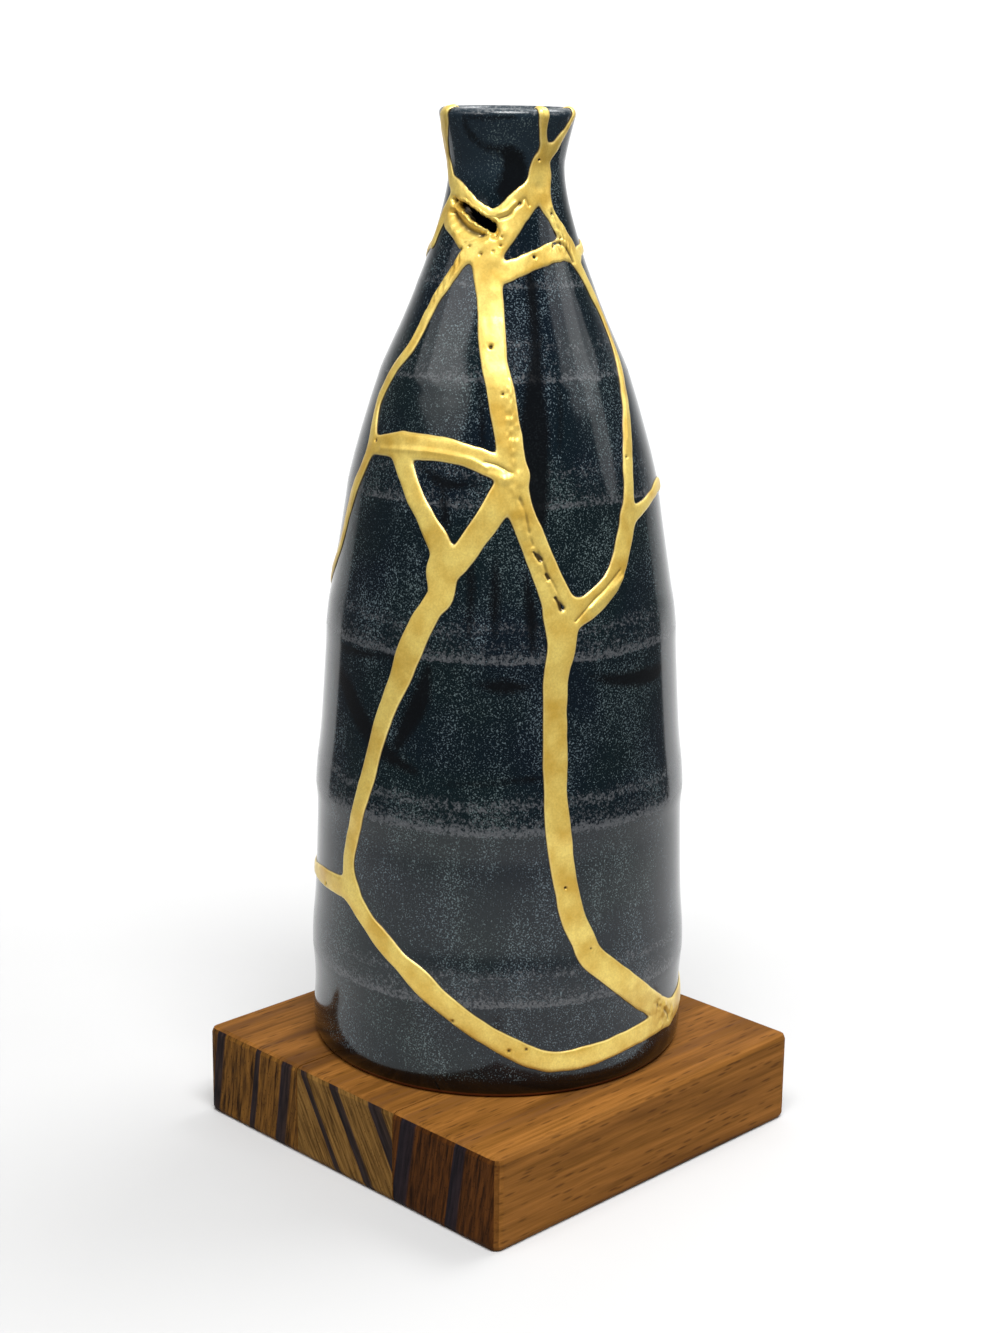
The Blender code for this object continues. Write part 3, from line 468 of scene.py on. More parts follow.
# Under the foot, from the middle out, and on the floor inside, from the middle out
under_foot = smooth_course([
    (0.0, foot_recess), (0.5 * ring_inner, foot_recess), (ring_inner - foot_recess, foot_recess),
    (ring_inner, 0.0), (ring_outer, 0.0), (foot_radius - 0.45 * foot_turn_in, 0.20 * foot_level),
    (foot_radius - 0.10 * foot_turn_in, 0.55 * foot_level), (foot_radius, foot_level),
], 1)[:-1]
on_floor = np.array([
    (0.0, floor_top), (0.4 * inner_foot_radius, floor_top), (0.75 * inner_foot_radius, floor_top),
    (0.9 * inner_foot_radius, floor_top), (inner_foot_radius - 1.6 * cove_radius, floor_top),
    (inner_foot_radius - cove_radius, floor_top),
    (inner_foot_radius - 0.3 * cove_radius, floor_top + 0.3 * cove_radius),
])


def inner_wall(level):
    """Radius and height of the inner wall, raised near the foot so that cracks pass above the floor."""
    radius, height = section(level, -wall_thickness(level))
    share = np.clip(1.0 - (level - foot_level) / (8 * foot_level), 0.0, 1.0)
    return radius, height + lift * share


def sheet_profiles():
    """Radius and height of every row of the grid, outside and inside, and the row's level."""
    outer = np.stack(section(wall_levels, 0.0), axis=1)
    inner = np.stack(inner_wall(wall_levels), axis=1)
    outer_lip = np.stack(over_lip(lip_levels, 0.0), axis=1)
    inner_lip = np.stack(over_lip(2 * rim_level + math.pi * neck_wall / 2 - lip_levels, 0.0), axis=1)
    below = foot_level - millimetre * np.arange(len(under_foot), 0, -1)
    levels = np.concatenate([below, wall_levels, lip_levels])
    return levels, np.vstack([under_foot, outer, outer_lip]), np.vstack([on_floor, inner, inner_lip])


sheet_levels, outer_rows, inner_rows = sheet_profiles()
sheet_bearings = np.arange(0.0, 360.0, column_step)
grid_bearing, grid_level = np.meshgrid(sheet_bearings, sheet_levels)
grid_fields = measure(grid_bearing, np.maximum(grid_level, foot_level))
grid_mend = np.minimum(grid_fields["slot"] - slot_lining, grid_fields["chip"])
crack_gap = np.minimum(grid_fields["crack"] - shard_gap, grid_mend)
print("grid:", grid_bearing.shape, "closest crack in mm:", round(float(crack_gap.min()) / millimetre, 2))

# %% [markdown]
# The glaze ran and pooled while it was hot.  Where it pooled it is pure black: a swoosh across the
# neck, soft patches and streaks on the body, a wide pool right of the middle seam, and dashes just
# under the throwing rings.  The ones that the photograph shows are courses on the map like the
# cracks, and the dashes at the back are strewn at random.  Painted shade is black in the same way:
# a band just above the foot, where the glaze mirrors the plinth in its shadow, and the inside of
# the vase below the neck.

# %% Black pools of glaze, and painted shade at the foot and inside
pools = [
    [(-38, 0.993, 0.5), (-35, 0.977, 0.9), (-21, 0.965, 0.9), (-8, 0.961, 1.2), (3, 0.959, 1.7),
     (13, 0.954, 1.4)],
    [(-36, 0.994, 0.4), (-15, 0.993, 0.7), (5, 0.994, 0.5)],
    [(4, 0.952, 2.2), (8, 0.940, 3.4), (2, 0.923, 3.0)],
    [(16, 0.848, 0.9), (17, 0.823, 1.5), (16, 0.773, 1.5), (13.5, 0.732, 2.4), (12.5, 0.694, 3.5),
     (11.5, 0.661, 3.6), (12.5, 0.627, 2.7), (13, 0.600, 1.5)],
    [(-11, 0.740, 0.4), (-9, 0.710, 0.8), (-8, 0.678, 0.6)],
    [(25, 0.740, 0.2), (24, 0.705, 0.5), (22, 0.671, 0.2)],
    [(-33, 0.655, 0.5), (-22, 0.640, 1.6), (-8, 0.641, 0.5)],
    [(-22, 0.640, 0.8), (-20, 0.602, 1.3)],
    [(-64, 0.453, 0.9), (-51, 0.457, 1.1), (-42, 0.460, 0.9), (-35, 0.461, 0.5)],
    [(-66, 0.430, 1.2), (-58, 0.418, 2.4), (-49, 0.389, 2.8), (-38, 0.362, 2.2), (-26, 0.346, 1.0)],
    [(-23, 0.455, 1.0), (-25, 0.424, 2.4), (-29, 0.395, 2.3), (-33, 0.370, 1.4)],
    [(-8, 0.443, 0.4), (1, 0.441, 1.9), (9, 0.440, 0.6)],
    [(-17, 0.337, 0.3), (-4, 0.341, 0.4), (9, 0.345, 0.8), (15, 0.346, 0.3)],
    [(29, 0.446, 0.5), (40, 0.438, 1.8), (55, 0.434, 2.2), (66, 0.436, 1.0)],
    [(-11, 0.590, 0.3), (-10, 0.540, 1.1), (-10, 0.492, 0.6)],
    [(-2, 0.570, 0.4), (-2, 0.529, 1.3), (-2, 0.490, 0.6)],
    [(8, 0.552, 0.6), (9.5, 0.515, 1.5), (10, 0.478, 0.8)],
]
painted_foot_shade_height = 5.2 * millimetre
painted_foot_shade_waves = [(0.2, 30.0, 6)]
painted_shade_inside = 0.93 * vase_height
dashes_per_ring = 5
shuffle = np.random.default_rng(11)
for share in ring_shares:
    for start in 75.0 + 210.0 * shuffle.random(dashes_per_ring):
        length = 8.0 + 16.0 * shuffle.random()
        half_width = 0.4 + 0.8 * shuffle.random()
        pools.append([(start, share - 0.007, 0.3), (start + length / 2, share - 0.009, half_width),
                      (start + length, share - 0.006, 0.2)])
print("pools of black glaze:", len(pools))

# %% [markdown]
# To find which places belong to which shard, one place inside each is marked, and the marks
# spread to their neighbours until they meet the cracks.

# %% Which place is on which shard
shard_places = {
    "neck_front_shard": (-10, 0.95), "neck_rim_sliver": (52, 0.99), "neck_back_shard": (140, 0.93),
    "collar_shard": (26, 0.888), "shoulder_left_shard": (-85, 0.75), "shoulder_front_shard": (-35, 0.75),
    "shoulder_right_shard": (30, 0.70), "shoulder_back_shard": (120, 0.75),
    "small_triangle_shard": (-20, 0.63), "body_left_shard": (-70, 0.35), "body_front_shard": (-10, 0.30),
    "body_right_shard": (70, 0.30), "base_shard": (0, 0.020),
}


def spread_marks(free):
    """Number the places: each free place takes the highest number among itself and its neighbours."""
    mark = np.zeros(free.shape, int)
    for number, (bearing, share) in enumerate(shard_places.values(), start=1):
        row = int(np.argmin(np.abs(sheet_levels - share * vase_height)))
        column = int(np.argmin(np.abs((sheet_bearings - bearing + 180.0) % 360.0 - 180.0)))
        mark[row, column] = number
    while True:
        wider = np.maximum(mark, np.maximum(np.roll(mark, 1, axis=1), np.roll(mark, -1, axis=1)))
        wider[1:] = np.maximum(wider[1:], mark[:-1])
        wider[:-1] = np.maximum(wider[:-1], mark[1:])
        wider[~free] = 0
        if (wider == mark).all():
            return mark
        mark = wider


free_places = np.minimum(grid_fields["crack"] - label_gap, grid_mend - (label_gap - shard_gap)) > 0
shard_of = spread_marks(free_places)
print("places on each shard:", np.bincount(shard_of.ravel())[1:])

# %% Ragged borders on to the crack
row_radius = outer_rows[:, 0][:, None].clip(neck_radius)
row_spacing = np.gradient(sheet_levels)[:, None]
column_spacing = np.radians(column_step) * row_radius
longest_push = 1.3 * millimetre
least_slope = 0.5


def pushed_to_crack(border):
    """Bearings and levels of the grid, with the border points moved on to the crack's line."""
    across = (np.roll(crack_gap, -1, axis=1) - np.roll(crack_gap, 1, axis=1)) / (2 * column_spacing)
    up = np.gradient(crack_gap, axis=0) / row_spacing
    steepness = np.maximum(across ** 2 + up ** 2, least_slope)
    shift = np.where(border, np.clip(crack_gap, 0.0, longest_push), 0.0) / steepness
    bearing = grid_bearing - np.degrees(shift * across / row_radius)
    return bearing, grid_level - shift * up


def border_edges(corners, rows, columns):
    """Edges that a single face has, but for those at the poles and on the lip's crown, which close."""
    edges = np.concatenate([corners[:, [k, (k + 1) % 4]] for k in range(4)])
    there = edges[:, 0] * rows * columns + edges[:, 1]
    back = edges[:, 1] * rows * columns + edges[:, 0]
    edges = edges[~np.isin(there, back)]
    row = edges // columns
    closed = (row == 0).all(axis=1) | (row == rows - 1).all(axis=1)
    return edges[~closed]


# %% Closed shells from the grid
def shell_of(mine):
    """Points and faces of one shard from the grid places that are its own, and how far into a pool each is.

    Besides the pools, painted shade is black too: a band just above the foot, where the glaze mirrors the
    shadowed plinth, and the inside below the neck.
    """
    rows, columns = mine.shape
    following = np.roll(np.arange(columns), -1)
    whole = mine[:-1] & mine[1:] & mine[:-1][:, following] & mine[1:][:, following]
    row, column = np.nonzero(whole)
    corners = quads(row * columns, (row + 1) * columns, column, following[column])
    open_edges = border_edges(corners, rows, columns)
    border = np.zeros(mine.size, bool)
    border[open_edges.ravel()] = True
    bearing, level = pushed_to_crack(border.reshape(mine.shape))
    sheets = []
    for profile_rows in (outer_rows, inner_rows):
        radius = np.interp(level, sheet_levels, profile_rows[:, 0])
        height = np.interp(level, sheet_levels, profile_rows[:, 1])
        sheets.append(turned(bearing, radius, height).reshape(-1, 3))
    sides = np.stack([open_edges[:, 1], open_edges[:, 0],
                      open_edges[:, 0] + mine.size, open_edges[:, 1] + mine.size], axis=1)
    faces = np.vstack([corners, corners[:, ::-1] + mine.size, sides])
    used, packed = np.unique(faces, return_inverse=True)
    pool = course_field(bearing.ravel(), level.ravel(), pools)
    # Painted shade: a band just above the foot is painted black, where the glaze mirrors the shadowed plinth,
    # and so is the inside below the neck.
    painted_foot_shade = painted_foot_shade_height * (1.0 + layered_waves(bearing, level, painted_foot_shade_waves)) - level
    pool = np.concatenate([np.maximum(pool, painted_foot_shade.ravel()), painted_shade_inside - level.ravel()])[used]
    return np.vstack(sheets)[used], packed.reshape(faces.shape), pool


shard_pieces = []
for number, name in enumerate(shard_places, start=1):
    points, faces, pool = shell_of(shard_of == number)
    piece = add_piece(name + "_glazed", points, faces, [name],
                      attributes={"pool_and_shade_depth": pool / millimetre})
    piece.data.set_sharp_from_angle(angle=math.radians(50))
    shard_pieces.append(piece)

# %% [markdown]
# ## The gold
#
# The mender laid lacquer along each join, let it swell a little over the glaze, and dusted it with
# gold while it was tacky.  So the gold is a low bead with a soft, uneven edge.  Its height over
# the wall is crest * (1 - exp(-depth / rounding)), where the depth is how far inside the edge a
# place lies.  Outside the edge the same slope carries on down into the glaze, so the line where
# gold meets glaze is a clean cut between two smooth surfaces, however the grid runs.
#
# Only the faces near the gold are kept.  The points on their border are shared by the top and the
# underside, both sunk in the glaze, which closes the shell.

# %% Height of the bead
crest = 0.44 * millimetre
rounding = 0.32 * millimetre
sunk = 0.45 * millimetre
skirt = 0.40 * millimetre
chip_cover = 0.9 * millimetre

# %% [markdown]
# The gold isn't smooth all over.  A ridge with a groove beside it runs down the middle seam, where
# two strips of lacquer met, and there are creases, pinholes, small slots and lumps.  Ridges and
# grooves are courses with a height in millimetres, with a bell curve across them.  Pinholes and
# lumps are round bells.  Where strips met or piled up the gold is crinkled.  Below the open slot the
# filled chip is left hollow, like a small ledge, with a pocket at its left and a notch at its right.

# %% Ridges and grooves
middle_seam = [(3, 0.740, 0.5), (3, 0.722, 0.5), (3.6, 0.686, 0.5), (3.5, 0.655, 0.5), (4.4, 0.631, 0.5),
               (6.8, 0.610, 0.5), (8.5, 0.587, 0.5), (11.5, 0.570, 0.5), (14.4, 0.550, 0.5),
               (16.6, 0.537, 0.5), (19, 0.518, 0.4)]
beside_middle = [(bearing + 1.3, share + 0.001, 0.45) for bearing, share, _ in middle_seam[4:]]
creases = [
    (0.16, middle_seam), (-0.20, beside_middle),
    (-0.70, [(10.6, 0.575, 0.36), (12.6, 0.567, 0.56)]), (-0.62, [(14.6, 0.552, 0.40), (15.3, 0.548, 0.46)]),
    (-0.80, [(17.6, 0.529, 0.36), (19.4, 0.518, 0.72)]),
    (-0.28, [(43, 0.549, 0.3), (35, 0.531, 0.4), (31, 0.523, 0.4), (24, 0.504, 0.3)]),
    (0.26, [(44, 0.541, 0.5), (37, 0.528, 0.9), (30, 0.515, 0.6)]),
    (-0.30, [(-6.5, 0.662, 0.3), (-2, 0.659, 0.4), (3, 0.652, 0.3)]),
    (0.20, [(-8, 0.650, 0.8), (0, 0.646, 1.2)]),
    (-0.32, [(-9, 0.893, 0.4), (1.6, 0.897, 0.5), (6.8, 0.904, 0.5), (12.2, 0.909, 0.4)]),
    (0.22, [(-6, 0.899, 0.5), (2, 0.902, 0.6), (8, 0.909, 0.5)]),
    (-0.22, [(12, 0.909, 0.5), (17, 0.914, 0.5), (20, 0.907, 0.4)]),
    (-0.35, [(38.6, 0.869, 0.4), (46, 0.869, 0.5), (52, 0.862, 0.5), (56, 0.850, 0.4)]),
    (-0.22, [(43, 0.902, 0.3), (47, 0.886, 0.4), (51, 0.872, 0.3)]),
    (-0.35, [(-35, 0.863, 0.4), (-41, 0.859, 0.5), (-46, 0.855, 0.4)]),
    (-0.18, [(-20, 0.878, 0.4), (-27, 0.872, 0.4), (-32, 0.869, 0.3)]),
    (0.20, [(-54, 0.664, 0.5), (-40, 0.667, 0.6), (-26, 0.668, 0.6), (-13, 0.664, 0.6), (-6, 0.656, 0.5)]),
    (0.16, [(30, 1.000, 0.8), (30, 0.994, 0.8)]),
    (-0.30, [(58, 0.066, 0.4), (64, 0.052, 0.5), (66, 0.040, 0.4)]),
    (-0.25, [(61, 0.073, 0.3), (68, 0.062, 0.4)]),
    (0.14, [(-52, 0.800, 0.4), (-56, 0.765, 0.5), (-62, 0.742, 0.4)]),
    (0.12, [(57, 0.675, 0.4), (62, 0.704, 0.4), (66, 0.733, 0.4)]),
]

# %% Pinholes, lumps, hollows and crinkles
# Bearing, share of the height, half width and height in millimetres
spots = [
    (32, 0.952, 0.30, -0.6), (-3.7, 0.868, 0.25, -0.5), (-3.1, 0.876, 0.25, -0.5), (-18, 0.859, 0.35, -0.5),
    (-41, 0.849, 0.40, -0.5), (21, 0.857, 0.40, -0.6), (38, 0.866, 0.35, -0.5), (-6.8, 0.771, 0.40, -0.7),
    (-0.4, 0.727, 0.30, -0.6), (-59, 0.670, 0.35, -0.7), (54, 0.658, 0.30, -0.6), (20.2, 0.228, 0.35, -0.7),
    (28.6, 0.158, 0.30, -0.5), (-12.8, 0.084, 0.45, -0.4), (3.8, 0.053, 0.40, -0.5), (8.9, 0.054, 0.40, -0.5),
    (-66, 0.191, 0.35, -0.6), (42.5, 0.898, 0.30, -0.5), (47.4, 0.874, 0.30, -0.5), (-9, 0.862, 0.22, -0.4),
    (-28, 0.866, 0.30, -0.4), (1, 0.645, 0.90, 0.35), (62, 0.060, 1.20, 0.45), (69, 0.046, 1.10, 0.40),
    (60, 0.040, 0.90, 0.30), (-8, 0.855, 2.00, 0.25), (-17, 0.868, 1.60, 0.22), (-26, 0.873, 1.10, 0.25),
    (-3, 0.880, 1.30, 0.20), (31, 0.926, 1.50, -0.18), (-60, 1.000, 1.20, 0.25), (-44, 0.879, 0.70, 0.25),
    (-50, 0.884, 0.60, 0.25), (36, 0.545, 0.90, 0.15), (44, 0.880, 0.60, 0.20),
]
# Depth in millimetres and course of the ledge, the pocket and the notch
hollows = [
    (1.5, [(-53, 0.898, 0.9), (-42, 0.889, 1.2), (-31, 0.882, 1.3), (-20, 0.879, 1.2), (-13, 0.883, 0.8)]),
    (1.9, [(-56, 0.911, 0.6), (-52, 0.908, 0.9), (-46, 0.904, 0.8)]),
    (2.3, [(-13, 0.889, 0.9), (-9, 0.880, 0.9)]),
]
crinkled = [
    [(3, 0.730, 1.2), (3.6, 0.686, 1.5), (4.4, 0.640, 1.8), (8.5, 0.590, 1.9), (13, 0.558, 1.9),
     (18, 0.525, 1.8)],
    [(34, 0.864, 1.4), (46, 0.866, 1.6), (56, 0.858, 1.6)], [(42, 0.900, 0.9), (51, 0.874, 1.3)],
    [(57, 0.068, 1.6), (67, 0.047, 2.2)], [(-34, 0.856, 1.2), (-48, 0.812, 1.2)],
]
crinkle_height = 0.15 * millimetre
crinkle_waves = [(1.0, 1.1, 7), (0.6, 2.2, 8)]
print("creases and spots:", len(creases), len(spots))


# %% Relief of the gold
def bell_along(bearing, level, course):
    """A bell curve of height 1 across a course, exp(-(distance / half width)^2)."""
    bell = np.zeros(bearing.shape)
    near = in_part_of_map(bearing, level, course)
    far, width = distance_to_course(bearing[near], level[near], course)
    bell[near] = np.where(width > 0.0, np.exp(-(far / np.maximum(width, 1e-6)) ** 2), 0.0)
    return bell


def hollow_at(bearing, level):
    """Depth of the hollow ledge, pocket and notch around the slot: the deepest of them."""
    depths = [depth * millimetre * bell_along(bearing, level, course) for depth, course in hollows]
    return np.maximum.reduce(depths)


def fine_relief(bearing, level):
    """Sum of all ridges, grooves, pinholes and lumps at each place."""
    relief = np.zeros(bearing.shape)
    for height, course in creases:
        relief += height * millimetre * bell_along(bearing, level, course)
    for at_bearing, share, half_width, height in spots:
        radius = np.interp(share * vase_height, table_level, table_radius)
        across = np.radians((bearing - at_bearing + 180.0) % 360.0 - 180.0) * radius
        away = np.hypot(across, level - share * vase_height) / (half_width * millimetre)
        relief += height * millimetre * np.exp(-away ** 2)
    crumpled = np.maximum.reduce([bell_along(bearing, level, course) for course in crinkled])
    return relief + crinkle_height * crumpled * layered_waves(bearing, level, crinkle_waves)


# %% Edge and surface of the gold
gilded_round_slot = slot_lining + 0.7 * millimetre
# The edge wanders by millimetres, and the height swells by shares of the crest
edge_waves = [(0.26 * millimetre, 9.0, 1), (0.13 * millimetre, 3.0, 2)]
swell_waves = [(0.22, 8.0, 3), (0.12, 2.5, 4)]
# Painted shade: only the deeper part of a hollow is dark brown, and less so than a groove of the same depth
shade_deeper_than = 0.6 * millimetre
shade_share = 0.40


def gold_fields(bearing, level):
    """Depth inside the gold's edge, height of its top over the wall, distance to the slot, how hollow."""
    shape = bearing.shape
    crown = rim_level + math.pi / 2 * neck_wall / 2
    bearing = bearing.ravel()
    folded = np.where(level > crown, 2 * crown - level, level).ravel()
    fields = measure(bearing, folded)
    depth = np.maximum(fields["depth"], chip_cover - fields["chip"])
    depth = np.maximum(depth, gilded_round_slot - fields["slot"])
    depth = depth + layered_waves(bearing, folded, edge_waves)
    swell = 1.0 + layered_waves(bearing, folded, swell_waves)
    rise = np.where(depth > 0.0, 1.0 - np.exp(-np.maximum(depth, 0.0) / rounding), depth / rounding)
    relief = np.where(depth > 0.0, fine_relief(bearing, folded), 0.0)
    sink = hollow_at(bearing, folded)
    top = crest * swell * rise + relief - sink
    # Painted shade: grooves, pinholes and the deeper hollows are coloured dark brown by their depth.
    shaded = np.maximum(-relief, 0.0) + shade_share * np.maximum(sink - shade_deeper_than, 0.0)
    results = (depth, top, fields["slot"], shaded, sink)
    return [values.reshape(shape) for values in results]


# %% [markdown]
# The seams of the front are worked out on a finer grid than those at the back, so the map is cut
# into windows.  Neighbouring windows overlap by a little over two millimetres, and each dips by a
# hair towards its own edge, so the two surfaces cross once in the middle of the overlap.

# %% The gold's sheets
overlap = 1.2 * millimetre
dip = 0.05 * millimetre
thinnest = 0.05 * millimetre
into_slot = 0.2 * millimetre


def from_window_edge(bearing, level):
    """Distance to the nearest edge of the window, in metres along the wall."""
    radius = np.interp(level, table_level, table_radius)
    sideways = np.radians(np.minimum(bearing - bearing.min(), bearing.max() - bearing)) * radius
    return np.minimum(sideways, np.minimum(level - level.min(), level.max() - level))


def gold_piece(name, bearings, levels):
    """A closed shell over the part of the map that the bearings and levels span."""
    bearing, level = np.meshgrid(bearings, levels)
    depth, top, slot, hollow, sink = gold_fields(bearing, level)
    top = top - dip * np.clip(1.0 - from_window_edge(bearing, level) / (2 * overlap), 0.0, 1.0)
    rows, columns = bearing.shape
    near = (depth > -skirt) & (slot > 0.0)
    kept = near[:-1, :-1] | near[1:, :-1] | near[:-1, 1:] | near[1:, 1:]
    clear = slot > -into_slot
    kept &= clear[:-1, :-1] & clear[1:, :-1] & clear[:-1, 1:] & clear[1:, 1:]
    touching = np.zeros((rows + 1, columns + 1), int)
    touching[1:-1, 1:-1] = kept
    inner = touching[:-1, :-1] + touching[1:, :-1] + touching[:-1, 1:] + touching[1:, 1:] == 4
    bottom = -sunk - sink
    top = np.where(inner, np.maximum(top, bottom + thinnest), bottom)
    upper = wall_point(bearing, level, top).reshape(-1, 3)
    lower = wall_point(bearing, level, bottom).reshape(-1, 3)
    row, column = np.nonzero(kept)
    corners = quads(row * columns, (row + 1) * columns, column, column + 1)
    under = np.where(inner.ravel()[corners], corners + bearing.size, corners)[:, ::-1]
    faces = np.vstack([corners, under])
    used, packed = np.unique(faces, return_inverse=True)
    edge = np.concatenate([depth.ravel(), 0 * depth.ravel() - skirt])[used] / millimetre
    # Painted shade of the grooves, pinholes and hollows, on the top only.
    dark = np.concatenate([hollow.ravel(), 0 * hollow.ravel()])[used] / millimetre
    return add_piece(name, np.vstack([upper, lower])[used], packed.reshape(faces.shape),
                     ["gold_seam"], merge=False, attributes={"edge_depth": edge, "painted_shade_depth": dark})


# %% Windows of the map
foot_end = 0.030 * vase_height - 4 * millimetre
middle_level = 0.47 * vase_height
join_level = 0.80 * vase_height
neck_end = rim_level + math.pi * neck_wall / 2 + 5 * millimetre
side_bearing = 100.0
side_overlap = 1.8
front_span = (-side_bearing - side_overlap, side_bearing + side_overlap)
back_span = (side_bearing - side_overlap, 360.0 - side_bearing + side_overlap)
# Bearings and their step in degrees, levels, and their step in millimetres
windows = {
    "gold_lower_front": (front_span, 0.36, (foot_end, middle_level + overlap), 0.27),
    "gold_upper_front": (front_span, 0.36, (middle_level - overlap, join_level + overlap), 0.24),
    "gold_neck_front": (front_span, 0.60, (join_level - overlap, neck_end), 0.18),
    "gold_body_back": (back_span, 0.90, (foot_end, join_level + overlap), 0.50),
    "gold_neck_back": (back_span, 1.20, (join_level - overlap, neck_end), 0.35),
}
gold_pieces = []
for name, (across, bearing_step, upward, level_step) in windows.items():
    gold_pieces.append(gold_piece(name, np.arange(*across, bearing_step),
                                  np.arange(*upward, level_step * millimetre)))

# %% [markdown]
# ## The open slot
#
# Under the neck a chip is missing and the mender left a slot open.  Its edge is gilded: a rolled
# lip that turns down into the hole and lines the broken wall.  It is a closed profile carried
# round the outline of the slot.

# %% Lining of the slot
lining_profile = smooth_course([
    (1.10, -0.25), (0.75, 0.34), (0.35, 0.48), (0.05, 0.34), (-0.08, 0.00), (-0.12, -0.80), (-0.10, -1.80),
    (0.00, -2.80), (0.25, -3.10), (0.60, -2.90), (0.80, -1.60), (1.10, -0.25),
], 4)[:-1] * millimetre


def slot_outline(steps):
    """Middle points of the slot and the directions outward from them, once round it.

    Along each side the direction is square to the course, and round each end it turns half a circle.
    """
    course = smooth_course(open_slot, steps)
    radius = np.interp(course[:, 1] * vase_height, table_level, table_radius)
    flat = np.stack([np.radians(course[:, 0]) * radius.mean(), course[:, 1] * vase_height], axis=1)
    ahead = np.gradient(flat, axis=0)
    heading = np.arctan2(ahead[:, 1], ahead[:, 0])
    turn = np.linspace(math.pi / 2, -math.pi / 2, steps + 2)[1:-1]
    middle = np.vstack([flat, np.repeat(flat[-1:], steps, 0), flat[::-1], np.repeat(flat[:1], steps, 0)])
    angle = np.concatenate([heading + math.pi / 2, heading[-1] + turn, heading[::-1] - math.pi / 2,
                            heading[0] + turn + math.pi])
    half = np.concatenate([course[:, 2], np.repeat(course[-1, 2], steps), course[::-1, 2],
                           np.repeat(course[0, 2], steps)]) * millimetre
    return middle, np.stack([np.cos(angle), np.sin(angle)], axis=1), half, radius.mean()


def ring_faces(around, along):
    """Four-sided faces of a grid that closes on itself both ways."""
    i, j = np.meshgrid(np.arange(around), np.arange(along), indexing="ij")
    return quads(i * along, (i + 1) % around * along, j, (j + 1) % along).reshape(-1, 4)


# %% Placing the lining
chip_waves = [(0.20 * millimetre, 1.6, 5)]
ledge_follow = 0.8
slot_shade_from = 0.2 * millimetre
far_from_edge = 1.5
middle, outward, half, slot_radius = slot_outline(16)
chipped = layered_waves(np.degrees(middle[:, 0] / slot_radius), middle[:, 1], chip_waves)
offset = (half + chipped)[:, None] + lining_profile[None, :, 0]
flat_place = middle[:, None, :] + offset[..., None] * outward[:, None, :]
lining_bearing = np.degrees(flat_place[..., 0] / slot_radius)
ledge_there = hollow_at(lining_bearing.ravel(), flat_place[..., 1].ravel()).reshape(offset.shape)
lining_out = lining_profile[None, :, 1] - ledge_follow * ledge_there
lining_points = wall_point(lining_bearing, flat_place[..., 1], lining_out)
# Painted shade: the lining turns dark brown the deeper it goes into the slot.
shade_in_slot = np.maximum(-lining_profile[None, :, 1] - slot_shade_from, 0.0) + 0 * offset
lining_looks = {"edge_depth": np.full(offset.size, far_from_edge),
                "painted_shade_depth": shade_in_slot.ravel() / millimetre}
slot_gold = add_piece("gold_slot_lining", lining_points.reshape(-1, 3), ring_faces(*offset.shape),
                      merge=False, attributes=lining_looks)

# %% [markdown]
# ## Colours and nodes
#
# Colours are written as they look on a screen, in hex, and one function turns them to the linear
# numbers that the shader works with.  Another adds a node and joins it to those before it.  A
# MapRange node is given its value, the range it is read from, and the range it is turned to.

# %% Colour and node helpers
def linear(hex_colour):
    """sRGB hex to linear red, green, blue and a full alpha, by the sRGB curve."""
    values = [int(hex_colour[i:i + 2], 16) / 255.0 for i in (1, 3, 5)]
    curve = [v / 12.92 if v <= 0.04045 else ((v + 0.055) / 1.055) ** 2.4 for v in values]
    return (*curve, 1.0)


def set_inputs(node, values):
    """Fill inputs, given by key, with a number, a hex colour, an output, or a node's first open output."""
    for key, value in values.items():
        if isinstance(value, bpy.types.Node):
            value = next(output for output in value.outputs if output.enabled)
        if isinstance(value, bpy.types.NodeSocket):
            node.id_data.links.new(value, node.inputs[key])
        else:
            node.inputs[key].default_value = linear(value) if isinstance(value, str) else value


def add_node(tree, kind, *values, **named):
    """A shader node with its options set and its inputs filled.

    Plain values fill the open inputs in their order.  A name with a capital fills the input of that
    name, and any other name sets an option.
    """
    node = tree.nodes.new("ShaderNode" + kind)
    for key, value in named.items():
        if key[0].islower():
            setattr(node, key, value)
    open_inputs = [number for number, socket in enumerate(node.inputs) if socket.enabled]
    set_inputs(node, dict(zip(open_inputs, values)))
    set_inputs(node, {key: value for key, value in named.items() if key[0].isupper()})
    return node


def new_finish(name):
    """A material with an empty Principled shader, and its tree."""
    material = bpy.data.materials.new(name)
    material.use_nodes = True
    return material, material.node_tree, material.node_tree.nodes["Principled BSDF"]


def set_ramp(node, stops):
    """Fill a ramp with (position, brightness) stops, from black to white."""
    ramp = node.color_ramp
    while len(ramp.elements) > 1:
        ramp.elements.remove(ramp.elements[-1])
    ramp.elements[0].position = stops[0][0]
    ramp.elements[0].color = (*[stops[0][1]] * 3, 1.0)
    for position, brightness in stops[1:]:
        ramp.elements.new(position).color = (*[brightness] * 3, 1.0)
